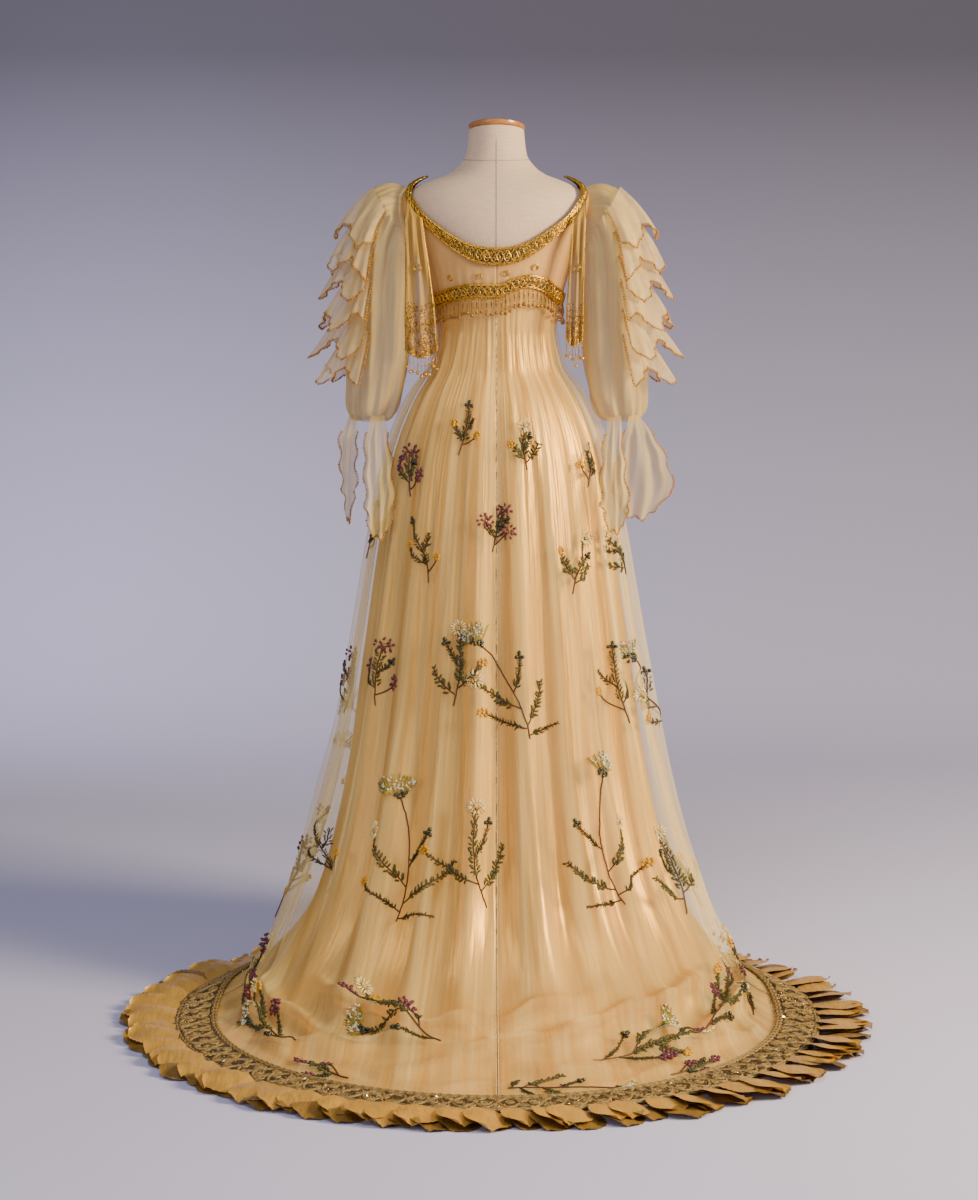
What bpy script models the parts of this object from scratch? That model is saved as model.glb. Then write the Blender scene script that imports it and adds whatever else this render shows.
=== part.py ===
"""Evening dress with a train, standing on a limbless dress form.

Metres, +Z up. The origin is on the floor under the form's pole. The dress faces -Y and its train spreads
towards +Y. The wearer's left is +X. An angle round the body starts at the centre back, 0 degrees, and grows
towards the wearer's left, so 90 is the left side and 180 the centre front.
"""

import math
from collections import namedtuple

import bmesh
import bpy
from mathutils import Matrix, Vector

# Walls and gaps
SATIN = 0.0015
TULLE = 0.0010
CHIFFON = 0.0010
SEAM_GAP = 0.0007
SHOULDER_SEAM_GAP = 0.0024
LAP_GAP = 0.0005

# The dress form's stand
CAP_RADIUS = 0.0505
CAP_THICKNESS = 0.012
NECK_TILT = math.radians(11)
POLE_RADIUS = 0.014
BASE_RADIUS = 0.165
BASE_THICKNESS = 0.014
COLLAR_RADIUS = 0.030
COLLAR_HEIGHT = 0.030
FORM_COLUMNS = 32
CAP_EDGE = 0.003
POLE_COLUMNS = 20
BASE_COLUMNS = 24
BASE_SLOPE = 0.006
SHARP_EDGE = math.radians(40)

# Trimmings
NECKBAND_WIDTH = 0.030
NECKBAND_THICKNESS = 0.0030
NECKBAND_COLUMNS = 48
NECKBAND_LIFT = 0.0017
NECKBAND_LAP = 0.003
NECKBAND_SHOULDER_RISE = 0.012
NECKBAND_SHOULDER_SHARPNESS = 4
BAND_HALF_WIDTH = 0.012
BAND_THICKNESS = 0.0030
BAND_CREST = 0.0015
BAND_LOW_CREST = 0.4
BAND_COLUMNS = 40
BAND_LIFT = 0.0010
FRINGE_STRANDS = 60
FRINGE_STRAND_SHARE = 0.36
FRINGE_OUT = 0.0106
FRINGE_LENGTH = 0.032
FRINGE_STRIP_HEIGHT = 0.005
FRINGE_DEPTH = 0.0022
HEM_BAND_THICKNESS = 0.0040
HEM_BAND_LUMP = 0.0060
HEM_BAND_BEAT = 2.4
HEM_BAND_GAP = 0.0010
HEM_BAND_CRESTS = ((11, 0.0), (11.5, 1.0), (12, 0.0))
PETAL_COUNT = 42
UPPER_PETAL_COLUMNS = 4
LOWER_PETAL_COLUMNS = 3
PETAL_LENGTH = 0.078
PETAL_VALLEY = 0.60
PETAL_ROUNDNESS = 0.6
PETAL_BEAT = 2.1
PETAL_WALL = 0.0012
PETAL_START_FRONT = 0.0090
PETAL_START_BACK = 0.0028
PETAL_ROOT_LIFT = 0.008
PETAL_TIP_LIFT = 0.006

# Bodice
ARMHOLE_HEIGHT = 1.360
ARMHOLE_HALF = 0.060
ARMHOLE_CUT = 16.0
SLEEVE_LAP = 2.0
SLEEVE_SEAT = 0.0018
SHOULDER_HEIGHT = 1.4240
NECK_BACK_HEIGHT = 1.2920
NECK_FRONT_HEIGHT = 1.3050
NECK_CURVE = 2.5
BODICE_COLUMNS = 10
BODICE_ROWS = (1.0, 0.95, 0.88, 0.77, 0.63, 0.46, 0.24, 0.0)
FORM_CLEARANCE = 0.0042
NECK_CLEARANCE = 0.0011
SIDE_RADIUS = 0.117

# Sleeves
SLEEVE_CENTRE = 0.004
SLEEVE_COLUMNS = 20
SLEEVE_FOLDS = 5
FLOUNCE_ROWS = 2

FormSection = namedtuple("FormSection", "height half_width back front centre")
FORM_SECTIONS = (
    FormSection(0.840, 0.150, 0.115, 0.102, 0.000),
    FormSection(0.930, 0.160, 0.122, 0.105, 0.000),
    FormSection(1.110, 0.104, 0.080, 0.082, 0.000),
    FormSection(1.160, 0.098, 0.076, 0.083, 0.000),
    FormSection(1.200, 0.103, 0.080, 0.094, 0.000),
    FormSection(1.250, 0.117, 0.088, 0.114, 0.000),
    FormSection(1.310, 0.136, 0.098, 0.128, 0.000),
    FormSection(1.350, 0.154, 0.101, 0.112, 0.000),
    FormSection(1.380, 0.166, 0.097, 0.094, 0.000),
    FormSection(1.405, 0.163, 0.087, 0.080, 0.000),
    FormSection(1.420, 0.152, 0.079, 0.072, -0.002),
    FormSection(1.432, 0.129, 0.072, 0.066, -0.004),
    FormSection(1.444, 0.094, 0.066, 0.060, -0.007),
    FormSection(1.453, 0.077, 0.062, 0.056, -0.009),
    FormSection(1.484, 0.054, 0.051, 0.050, -0.017),
    FormSection(1.524, 0.0495, 0.048, 0.048, -0.026),
)

# A row of both skirts, from the waist seam to the hem. The front share is how wide the front is beside the
# back. The folds and the tulle's distance from the satin are measured along the surface's normal. The last
# three rows carry the hem band.
SkirtRow = namedtuple(
    "SkirtRow",
    "row back_height front_height half_width front_share widest back front satin_fold tulle_gap tulle_fold",
)
SKIRT_ROWS = (
    SkirtRow(0, 1.2380, 1.2320, 0.1150, 1.00, 0.000, 0.0885, 0.1100, 0.000, 0.0018, 0.000),
    SkirtRow(0.3, 1.2200, 1.2150, 0.1110, 1.00, 0.000, 0.0860, 0.1030, 0.000, 0.0018, 0.000),
    SkirtRow(1, 1.1700, 1.1650, 0.1040, 1.00, 0.000, 0.0810, 0.0900, 0.001, 0.0045, 0.002),
    SkirtRow(2, 1.1100, 1.1050, 0.1130, 1.00, 0.000, 0.0890, 0.0900, 0.001, 0.0070, 0.005),
    SkirtRow(3, 1.0450, 1.0400, 0.1480, 1.00, 0.002, 0.1200, 0.1060, 0.002, 0.0100, 0.007),
    SkirtRow(4, 0.9500, 0.9500, 0.1820, 1.00, 0.004, 0.1500, 0.1240, 0.004, 0.0130, 0.008),
    SkirtRow(5, 0.8000, 0.8100, 0.2060, 1.00, 0.008, 0.1740, 0.1520, 0.007, 0.0180, 0.010),
    SkirtRow(6, 0.6000, 0.6300, 0.2330, 1.00, 0.014, 0.1960, 0.1900, 0.010, 0.0240, 0.013),
    SkirtRow(7, 0.3800, 0.4300, 0.2640, 0.98, 0.025, 0.2300, 0.2350, 0.013, 0.0320, 0.016),
    SkirtRow(8, 0.1700, 0.2600, 0.3180, 0.93, 0.055, 0.2900, 0.2700, 0.015, 0.0380, 0.016),
    SkirtRow(9, 0.0450, 0.1600, 0.3950, 0.84, 0.140, 0.4000, 0.2950, 0.006, 0.0190, 0.009),
    SkirtRow(10, 0.0015, 0.1080, 0.4460, 0.77, 0.240, 0.5600, 0.3100, 0.000, 0.0060, 0.003),
    SkirtRow(11, 0.0015, 0.0740, 0.4830, 0.73, 0.300, 0.7600, 0.3200, 0.000, 0.0015, 0.000),
    SkirtRow(11.5, 0.0015, 0.0400, 0.5240, 0.725, 0.316, 0.7990, 0.3290, 0.000, 0.0015, 0.000),
    SkirtRow(12, 0.0015, 0.0015, 0.5550, 0.72, 0.330, 0.8320, 0.3350, 0.000, 0.0015, 0.000),
)
LAST_ROW = SKIRT_ROWS[-1].row
NARROWEST = 0.70
STILL_WIDE = 0.15
WAIST_SEATED = 0.3
WAIST_DROP = 0.0016
TRAIN_STARTS = -0.9
TRAIN_WHOLE = 0.2
TULLE_ROWS = tuple(section.row for section in SKIRT_ROWS)
SATIN_ROWS = tuple(row for row in TULLE_ROWS if row not in (3, 5))

# Where the satin's and the tulle's folds stand round the skirt, in degrees, and how wide and high they are
# beside the row's own fold size. The level is the height of a fold that stays on the skirt's form.
FOLD_SHARPNESS = 1.6
FOLD_LEVEL = 0.5
Fold = namedtuple("Fold", "angle width height")
SATIN_FOLDS = tuple(
    Fold(*fold)
    for fold in (
        (13, 12, 1.0), (38, 13, 0.8), (64, 13, 1.0), (84, 10, 0.9), (114, 15, 0.9), (145, 16, 0.8),
        (180, 17, 0.7), (-145, 16, 0.8), (-113, 15, 0.9), (-82, 11, 1.0), (-58, 12, 0.9), (-34, 12, 0.8),
        (-12, 12, 0.9),
    )
)
TULLE_FOLDS = tuple(
    Fold(*fold)
    for fold in (
        (8, 7, 1.0), (23, 8, 0.8), (38, 8, 0.9), (54, 8, 0.8), (70, 9, 1.0), (87, 8, 0.9), (107, 10, 0.9),
        (132, 12, 0.8), (160, 12, 0.7), (-172, 12, 0.7), (-146, 12, 0.8), (-122, 11, 0.9), (-105, 9, 0.9),
        (-86, 8, 1.0), (-70, 8, 0.8), (-54, 8, 0.9), (-38, 8, 0.7), (-23, 8, 0.9), (-8, 7, 0.9),
    )
)

# How the gold band under the bust rises and dips round the body
BandHeight = namedtuple("BandHeight", "angle height")
BAND_HEIGHTS = tuple(
    BandHeight(*row)
    for row in (
        (-180, 1.234), (-120, 1.230), (-85, 1.228), (-60, 1.239), (-43, 1.254), (-27, 1.261), (-14, 1.255),
        (-2, 1.244), (16, 1.245), (35, 1.240), (64, 1.228), (90, 1.226), (130, 1.230), (180, 1.234),
    )
)

# A sleeve's sections from the armhole down. Tilt is how far the section has turned from upright to level.
SleeveSection = namedtuple("SleeveSection", "row out height tilt across deep fold")
SLEEVE_SECTIONS = (
    SleeveSection(1, 0.183, 1.3680, 26, 0.071, 0.062, 0.001),
    SleeveSection(2, 0.198, 1.3200, 62, 0.056, 0.066, 0.003),
    SleeveSection(3, 0.203, 1.2600, 84, 0.053, 0.065, 0.004),
    SleeveSection(4, 0.206, 1.1900, 90, 0.053, 0.063, 0.005),
    SleeveSection(5, 0.210, 1.1200, 90, 0.052, 0.060, 0.005),
    SleeveSection(6, 0.217, 1.0600, 90, 0.048, 0.054, 0.004),
    SleeveSection(7, 0.223, 1.0220, 90, 0.040, 0.044, 0.002),
    SleeveSection(8, 0.224, 1.0100, 90, 0.027, 0.030, 0.001),
)

# The flounces down the outer side of a sleeve: where each is sewn on, how far it drops and how far it stands
# out, and where round the arm its corners hang.
Flounce = namedtuple("Flounce", "row drop reach turn")
FLOUNCES = (
    Flounce(1.10, 1.10, 0.034, 0),
    Flounce(1.70, 1.15, 0.040, 18),
    Flounce(2.30, 1.10, 0.046, 0),
    Flounce(2.95, 1.15, 0.054, -18),
    Flounce(3.60, 1.20, 0.058, 0),
    Flounce(4.25, 1.25, 0.050, 18),
)
FLOUNCE_SPREAD = 72.0
FLOUNCE_CORNER_PITCH = 54.0
FLOUNCE_CORNER_DEPTH = 0.40
FLOUNCE_GAP = 0.0006
FLOUNCE_EDGE_REACH = 0.35
FLOUNCE_TAPER = 0.8

# Hanging strips: the shoulder drapes and the sleeve ties. Each row is one cross section.
StripSection = namedtuple("StripSection", "out back height half_width")
DRAPE_LEFT = (
    StripSection(0.1450, 0.078, 1.3700, 0.015),
    StripSection(0.1410, 0.087, 1.3150, 0.019),
    StripSection(0.1370, 0.086, 1.2600, 0.023),
    StripSection(0.1340, 0.087, 1.2000, 0.027),
    StripSection(0.1320, 0.088, 1.1400, 0.029),
)
DRAPE_RIGHT = (
    StripSection(0.1450, 0.078, 1.3700, 0.012),
    StripSection(0.1420, 0.087, 1.3150, 0.013),
    StripSection(0.1400, 0.086, 1.2600, 0.014),
    StripSection(0.1380, 0.087, 1.2000, 0.015),
    StripSection(0.1370, 0.088, 1.1600, 0.015),
)
DRAPE_ANGLES = (54, 66)
DRAPE_ABOVE = 0.006
DRAPE_SEAT = 0.0016
DRAPE_WALL = 0.0012
DRAPE_BOW = 0.003
DRAPE_STRIP_HEIGHT = 0.006
DRAPE_STRANDS = 8
DRAPE_FRINGE_LENGTH = 0.036
TIE_LEFT_OUTER = (
    StripSection(0.2640, 0.040, 0.9850, 0.014),
    StripSection(0.2650, 0.042, 0.9400, 0.013),
    StripSection(0.2640, 0.042, 0.8900, 0.011),
    StripSection(0.2640, 0.040, 0.8350, 0.006),
)
TIE_LEFT_INNER = (
    StripSection(0.2120, 0.070, 0.9850, 0.018),
    StripSection(0.2080, 0.104, 0.9300, 0.023),
    StripSection(0.2050, 0.128, 0.8700, 0.024),
    StripSection(0.2050, 0.142, 0.8150, 0.020),
)
TIE_RIGHT_OUTER = (
    StripSection(0.2540, 0.056, 0.9900, 0.024),
    StripSection(0.2600, 0.056, 0.9400, 0.043),
    StripSection(0.2620, 0.050, 0.8900, 0.052),
    StripSection(0.2560, 0.048, 0.8400, 0.036),
)
TIE_RIGHT_INNER = (
    StripSection(0.2080, 0.074, 0.9800, 0.014),
    StripSection(0.2060, 0.106, 0.9250, 0.020),
    StripSection(0.2080, 0.126, 0.8700, 0.022),
    StripSection(0.2090, 0.140, 0.8250, 0.018),
)

# A tie hangs from the sleeve's cuff, between two turns round the arm.
Tie = namedtuple("Tie", "name side first last sections")
TIES = (
    Tie("tie_left_outer", 1, 18, 54, TIE_LEFT_OUTER),
    Tie("tie_left_inner", 1, 90, 126, TIE_LEFT_INNER),
    Tie("tie_right_outer", -1, 36, 72, TIE_RIGHT_OUTER),
    Tie("tie_right_inner", -1, 90, 126, TIE_RIGHT_INNER),
)
CUFF_RING = 7
TIE_SEAT = 0.0008
TIE_BOW = 0.004
STRIP_COLUMNS = 4


def clear_scene():
    for found in list(bpy.data.objects):
        bpy.data.objects.remove(found)


def material(name, colour, roughness, metallic=0.0):
    made = bpy.data.materials.new(name)
    made.use_nodes = True
    shader = made.node_tree.nodes["Principled BSDF"]
    shader.inputs["Base Color"].default_value = (*colour, 1.0)
    shader.inputs["Roughness"].default_value = roughness
    shader.inputs["Metallic"].default_value = metallic
    return made


def read(table, column, at):
    """A column of a table at a value of its first column, on a smooth curve that stays between its rows."""
    keys = [row[0] for row in table]
    values = [getattr(row, column) for row in table]
    slopes = [(values[i + 1] - values[i]) / (keys[i + 1] - keys[i]) for i in range(len(keys) - 1)]
    at = min(max(at, keys[0]), keys[-1])
    i = max(k for k in range(len(keys) - 1) if keys[k] <= at)

    def slope_at(k):
        if k in (0, len(keys) - 1):
            return slopes[min(k, len(slopes) - 1)]
        before, after = slopes[k - 1], slopes[k]
        return 2 * before * after / (before + after) if before * after > 0 else 0.0

    step = keys[i + 1] - keys[i]
    t = (at - keys[i]) / step
    return (
        (1 + 2 * t) * (1 - t) ** 2 * values[i]
        + t * (1 - t) ** 2 * step * slope_at(i)
        + t * t * (3 - 2 * t) * values[i + 1]
        + t * t * (t - 1) * step * slope_at(i + 1)
    )


def smooth(x):
    x = min(max(x, 0.0), 1.0)
    return x * x * (3 - 2 * x)


def lifted(surface, turn, along, out, turn_step=0.5, along_step=0.002):
    """The surface's point, moved out along its normal. Turn grows towards the left, and along downwards."""
    across = surface(turn + turn_step, along) - surface(turn - turn_step, along)
    down = surface(turn, along + along_step) - surface(turn, along - along_step)
    return surface(turn, along) + across.cross(down).normalized() * out


def form_surface(angle, depth):
    """The dress form's skin at an angle, at a depth of minus its height."""
    height = -depth
    turn = math.radians(angle)
    reach = "back" if math.cos(turn) > 0 else "front"
    return Vector(
        (
            read(FORM_SECTIONS, "half_width", height) * math.sin(turn),
            read(FORM_SECTIONS, "centre", height) + read(FORM_SECTIONS, reach, height) * math.cos(turn),
            height,
        )
    )


def on_form(angle, height, out):
    return lifted(form_surface, angle, -height, out)


def band_height(angle):
    return read(BAND_HEIGHTS, "height", (angle + 180) % 360 - 180)


def neck_height(angle):
    """The neckline's lower edge: lowest at the centre back and front, and up over the shoulders."""
    turn = math.radians(angle)
    lowest = NECK_BACK_HEIGHT if math.cos(turn) > 0 else NECK_FRONT_HEIGHT
    return lowest + (SHOULDER_HEIGHT - lowest) * abs(math.sin(turn)) ** NECK_CURVE


def train_share(angle):
    """How far the skirt at this angle belongs to the train: 1 at the back, 0 at the front."""
    return smooth((math.cos(math.radians(angle)) - TRAIN_STARTS) / (TRAIN_WHOLE - TRAIN_STARTS))


def skirt_surface(angle, row):
    """The satin skirt's form without its folds: on the dress form at the waist, and from the table below."""
    turn = math.radians(angle)
    share = train_share(angle)
    level = max(row, 1.0)
    widest = read(SKIRT_ROWS, "widest", level)
    if math.cos(turn) > 0:
        reach = read(SKIRT_ROWS, "back", level) - widest
    else:
        reach = read(SKIRT_ROWS, "front", level) + widest
    height = share * read(SKIRT_ROWS, "back_height", level)
    height += (1 - share) * read(SKIRT_ROWS, "front_height", level)
    front = read(SKIRT_ROWS, "front_share", level)
    wide = front + (1 - front) * smooth((math.cos(turn) + NARROWEST) / (NARROWEST - STILL_WIDE))
    side = wide * read(SKIRT_ROWS, "half_width", level) * math.sin(turn)
    hanging = Vector((side, widest + reach * math.cos(turn), height))
    if row >= 1.0:
        return hanging
    waist = band_height(angle) - WAIST_DROP
    seated = on_form(angle, waist + (height - waist) * row, FORM_CLEARANCE + SATIN)
    return seated.lerp(hanging, smooth((row - WAIST_SEATED) / (1 - WAIST_SEATED)))


def fold_height(folds, angle):
    """How high the folds stand at an angle, from about -0.5 in a hollow to 1 on the highest crest."""
    total = 0.0
    for fold in folds:
        away = (angle - fold.angle + 180) % 360 - 180
        total += fold.height * math.exp(-((away / fold.width * FOLD_SHARPNESS) ** 2))
    return total


def on_skirt(angle, row, out):
    return lifted(skirt_surface, angle, row, out, along_step=0.05)


def satin_point(angle, row):
    fold = (fold_height(SATIN_FOLDS, angle) - FOLD_LEVEL) * 2 * read(SKIRT_ROWS, "satin_fold", row)
    return on_skirt(angle, row, fold)


def tulle_lift(angle, row):
    """How far the tulle's outer face stands off the satin's form."""
    fold = (fold_height(TULLE_FOLDS, angle) - FOLD_LEVEL) * 2 * read(SKIRT_ROWS, "tulle_fold", row)
    return read(SKIRT_ROWS, "tulle_gap", row) + fold


def tulle_point(angle, row):
    return on_skirt(angle, row, tulle_lift(angle, row))


def add_mesh(name, points, faces, finish):
    mesh = bpy.data.meshes.new(name)
    mesh.from_pydata([tuple(point) for point in points], [], faces)
    mesh.materials.append(finish)
    mesh.shade_smooth()
    placed = bpy.data.objects.new(name, mesh)
    dress_collection.objects.link(placed)
    return placed


def grid_faces(rows, columns, closed):
    faces = []
    for row in range(rows - 1):
        for column in range(columns if closed else columns - 1):
            beside = (column + 1) % columns
            faces.append(
                (
                    row * columns + column,
                    row * columns + beside,
                    (row + 1) * columns + beside,
                    (row + 1) * columns + column,
                )
            )
    return faces


def cloth(name, grid, thickness, finish, closed=False):
    """A wall of cloth under a grid of points on its outer face, rows down and columns towards the left."""
    points = [point for row in grid for point in row]
    wall = add_mesh(name, points, grid_faces(len(grid), len(grid[0]), closed), finish)
    solidify = wall.modifiers.new("Wall", "SOLIDIFY")
    solidify.thickness = thickness
    solidify.offset = -1
    return wall


def closed_loft(name, grid, finish):
    """A solid through rings of points, top ring first, closed by a flat face at each end."""
    columns = len(grid[0])
    points = [point for row in grid for point in row]
    faces = grid_faces(len(grid), columns, True)
    faces.append(tuple(reversed(range(columns))))
    faces.append(tuple(range(len(points) - columns, len(points))))
    return add_mesh(name, points, faces, finish)


def spaced(first, last, count):
    return [first + (last - first) * i / (count - 1) for i in range(count)]


def turned(name, radius, height, place, finish, bevel, tilt, vertices):
    """An upright round piece from a cylinder, with its edge eased."""
    bpy.ops.mesh.primitive_cylinder_add(vertices=vertices, radius=radius, depth=height)
    made = bpy.context.object
    made.name = name
    made.data.transform(Matrix.Rotation(tilt, 4, "X"))
    made.location = place
    made.data.materials.append(finish)
    made.data.shade_smooth()
    made.data.set_sharp_from_angle(angle=SHARP_EDGE)
    if bevel:
        eased = made.modifiers.new("Eased edge", "BEVEL")
        eased.width = bevel
        eased.segments = 1
    for collection in list(made.users_collection):
        collection.objects.unlink(made)
    dress_collection.objects.link(made)
    return made


def build_form():
    """The linen torso and neck, its wooden cap, and the pole and foot that carry it inside the skirt."""
    linen = material("linen", (0.62, 0.54, 0.46), 0.9)
    wood = material("varnished_wood", (0.52, 0.24, 0.06), 0.3)
    steel = material("painted_steel", (0.55, 0.54, 0.52), 0.4)
    heights = [section.height for section in reversed(FORM_SECTIONS)]
    angles = spaced(0, 360, FORM_COLUMNS + 1)[:-1]
    grid = [[form_surface(angle, -height) for angle in angles] for height in heights]
    top = FORM_SECTIONS[-1]
    for point in grid[0]:
        point.z += (point.y - top.centre) * math.tan(NECK_TILT)
    closed_loft("form_torso", grid, linen)
    up = Vector((0, -math.sin(NECK_TILT), math.cos(NECK_TILT)))
    seat = Vector((0, top.centre, top.height)) + up * (CAP_THICKNESS / 2 + LAP_GAP)
    turned("form_neck_cap", CAP_RADIUS, CAP_THICKNESS, seat, wood, CAP_EDGE, NECK_TILT, FORM_COLUMNS)
    bottom = FORM_SECTIONS[0].height
    pole_foot = BASE_THICKNESS + COLLAR_HEIGHT + LAP_GAP
    pole_length = bottom - LAP_GAP - pole_foot
    middle = (0, 0, pole_foot + pole_length / 2)
    turned("form_pole", POLE_RADIUS, pole_length, middle, steel, 0, 0, POLE_COLUMNS)
    profile = (
        (0.0, BASE_THICKNESS + COLLAR_HEIGHT),
        (COLLAR_RADIUS, BASE_THICKNESS + COLLAR_HEIGHT),
        (COLLAR_RADIUS, BASE_THICKNESS),
        (BASE_RADIUS, BASE_THICKNESS - BASE_SLOPE),
        (BASE_RADIUS, 0.0),
        (0.0, 0.0),
    )
    edges = [(i, i + 1) for i in range(len(profile) - 1)]
    mesh = bpy.data.meshes.new("form_base")
    mesh.from_pydata([(radius, 0, height) for radius, height in profile], edges, [])
    mesh.materials.append(steel)
    foot = bpy.data.objects.new("form_base", mesh)
    dress_collection.objects.link(foot)
    spin = foot.modifiers.new("Turned", "SCREW")
    spin.steps = spin.render_steps = BASE_COLUMNS
    spin.use_merge_vertices = True
    spin.merge_threshold = 0.0001


def lined(name, outer, inner, finish):
    """A closed ring of cloth between an outer face with raised work on it and a plain inner face."""
    columns = len(outer[0])
    rows = len(outer)
    points = [point for row in outer + inner for point in row]
    faces = grid_faces(rows, columns, True)
    start = rows * columns
    faces += [tuple(start + i for i in (a, d, c, b)) for a, b, c, d in grid_faces(rows, columns, True)]
    for row, turned_over in ((0, False), (rows - 1, True)):
        for column in range(columns):
            beside = (column + 1) % columns
            here, there = row * columns + column, row * columns + beside
            face = (there, here, start + here, start + there)
            faces.append(tuple(reversed(face)) if turned_over else face)
    return add_mesh(name, points, faces, finish)


def armhole_angle(height):
    """How far round the body the bodice reaches at a height: to the side seam, or to the armhole's edge."""
    away = min(abs(height - ARMHOLE_HEIGHT) / ARMHOLE_HALF, 1.0)
    return 90 - ARMHOLE_CUT * math.cos(away * math.pi / 2) ** 2


def bodice_grid(side, front):
    """One back or front half of the bodice, from the centre to the side seam and armhole. It rests on the
    form at the neckline's centre and stands a little off it elsewhere."""
    grid = []
    trim = math.degrees(SHOULDER_SEAM_GAP / 2 / SIDE_RADIUS)
    for t in BODICE_ROWS:
        bottom = band_height(side * 90)
        edge = armhole_angle(bottom + t * (SHOULDER_HEIGHT - bottom)) - trim
        line = []
        for s in spaced(0, 1, BODICE_COLUMNS):
            share = s * edge
            angle = side * (180 - share if front else share)
            low = band_height(angle)
            top = neck_height(side * (180 - 90 * s if front else 90 * s))
            clearance = FORM_CLEARANCE + (NECK_CLEARANCE - FORM_CLEARANCE) * t * (1 - s)
            line.append(on_form(angle, low + t * (top - low), clearance + SATIN))
        grid.append(line)
    return grid


def build_bodice():
    """The silk bodice under its tulle: a whole front, and two backs that meet at the centre back."""
    silk = material("peach_silk", (0.80, 0.60, 0.42), 0.5)
    left_front, right_front = bodice_grid(1, True), bodice_grid(-1, True)
    whole = [list(reversed(a)) + b[1:] for a, b in zip(left_front, right_front)]
    cloth("bodice_front", whole, SATIN, silk)
    for name, side in (("bodice_back_left", 1), ("bodice_back_right", -1)):
        grid = bodice_grid(side, False)
        for line in grid:
            line[0].x += side * SEAM_GAP / 2
            if side < 0:
                line.reverse()
        cloth(name, grid, SATIN, silk)


def build_neckband(gold):
    """The gold band round the neckline, lying on the bodice's top edge and over the shoulders."""
    inside = FORM_CLEARANCE + SATIN + NECKBAND_LIFT
    outer, inner = [], []
    for share, crest in ((1.0, 0.0), (0.5, 1.0), (0.0, 0.0)):
        raised, plain = [], []
        for column in range(NECKBAND_COLUMNS):
            angle = 360 * column / NECKBAND_COLUMNS
            steep = abs(math.sin(math.radians(angle))) ** NECKBAND_SHOULDER_SHARPNESS
            width = NECKBAND_WIDTH * (1 - steep) + NECKBAND_SHOULDER_RISE * steep
            height = neck_height(angle) - NECKBAND_LAP * (1 - steep) + share * width
            lump = BAND_CREST * crest * (1 if column % 2 else BAND_LOW_CREST)
            plain.append(on_form(angle, height, inside))
            raised.append(on_form(angle, height, inside + NECKBAND_THICKNESS + lump))
        outer.append(raised)
        inner.append(plain)
    lined("neckband", outer, inner, gold)


def build_underbust_band(gold):
    """The gold band under the bust, over the seam of bodice and skirt."""
    inside = FORM_CLEARANCE + SATIN + LAP_GAP + TULLE + BAND_LIFT
    outer, inner = [], []
    for share, crest in ((1, 0.0), (0, 1.0), (-1, 0.0)):
        raised, plain = [], []
        for column in range(BAND_COLUMNS):
            angle = 360 * column / BAND_COLUMNS
            height = band_height(angle) + share * BAND_HALF_WIDTH
            lump = BAND_CREST * crest * (1 if column % 2 else BAND_LOW_CREST)
            plain.append(on_form(angle, height, inside))
            raised.append(on_form(angle, height, inside + BAND_THICKNESS + lump))
        outer.append(raised)
        inner.append(plain)
    lined("underbust_band", outer, inner, gold)


def comb(name, stations, strand_length, strip_height, depth, finish, closed):
    """A narrow wedge-shaped strip with strands hanging from it. Each station is a point on the strip's top
    edge and the direction out; a strand hangs between stations 0 and 1, 2 and 3, and so on."""
    shape = bmesh.new()
    rings = []
    for point, out in stations:
        low = point - Vector((0, 0, strip_height))
        corners = (point, low, low - out * depth)
        rings.append([shape.verts.new(corner) for corner in corners])
    count = len(rings)
    hanging = []
    for i in range(count if closed else count - 1):
        here, there = rings[i], rings[(i + 1) % count]
        for k in range(3):
            after = (k + 1) % 3
            face = shape.faces.new((here[k], there[k], there[after], here[after]))
            if k == 1 and i % 2 == 0:
                hanging.append(face)
    if not closed:
        shape.faces.new(rings[0])
        shape.faces.new(list(reversed(rings[-1])))
    strands = bmesh.ops.extrude_discrete_faces(shape, faces=hanging)["faces"]
    for face in strands:
        bmesh.ops.translate(shape, verts=face.verts, vec=(0, 0, -strand_length))
    mesh = bpy.data.meshes.new(name)
    shape.normal_update()
    shape.to_mesh(mesh)
    shape.free()
    mesh.materials.append(finish)
    placed = bpy.data.objects.new(name, mesh)
    dress_collection.objects.link(placed)
    return placed


def build_band_fringe(beads):
    """Bead strands round the lower edge of the band under the bust, clear of the tulle."""
    pitch = 360 / FRINGE_STRANDS
    stations = []
    for strand in range(FRINGE_STRANDS):
        for share in (0.0, FRINGE_STRAND_SHARE):
            angle = (strand + share) * pitch
            height = band_height(angle) - BAND_HALF_WIDTH - LAP_GAP
            top = on_form(angle, height + BAND_HALF_WIDTH, FRINGE_OUT)
            top.z = height
            direction = Vector((math.sin(math.radians(angle)), math.cos(math.radians(angle)), 0))
            stations.append((top, direction))
    comb("band_fringe", stations, FRINGE_LENGTH, FRINGE_STRIP_HEIGHT, FRINGE_DEPTH, beads, closed=True)


def skirt_panel(name, point, rows, first, last, columns, thickness, finish):
    """One gore of a skirt between two seams, given by their angles."""
    grid = []
    for row in rows:
        trim = math.degrees(SEAM_GAP / 2 / read(SKIRT_ROWS, "half_width", row))
        angles = spaced(first, last, columns)
        angles[0] += trim
        angles[-1] -= trim
        grid.append([point(angle, row) for angle in angles])
    return cloth(name, grid, thickness, finish)


SKIRT_PANELS = (("back_left", 0, 96, 20), ("front", 96, 264, 17), ("back_right", 264, 360, 20))


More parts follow.
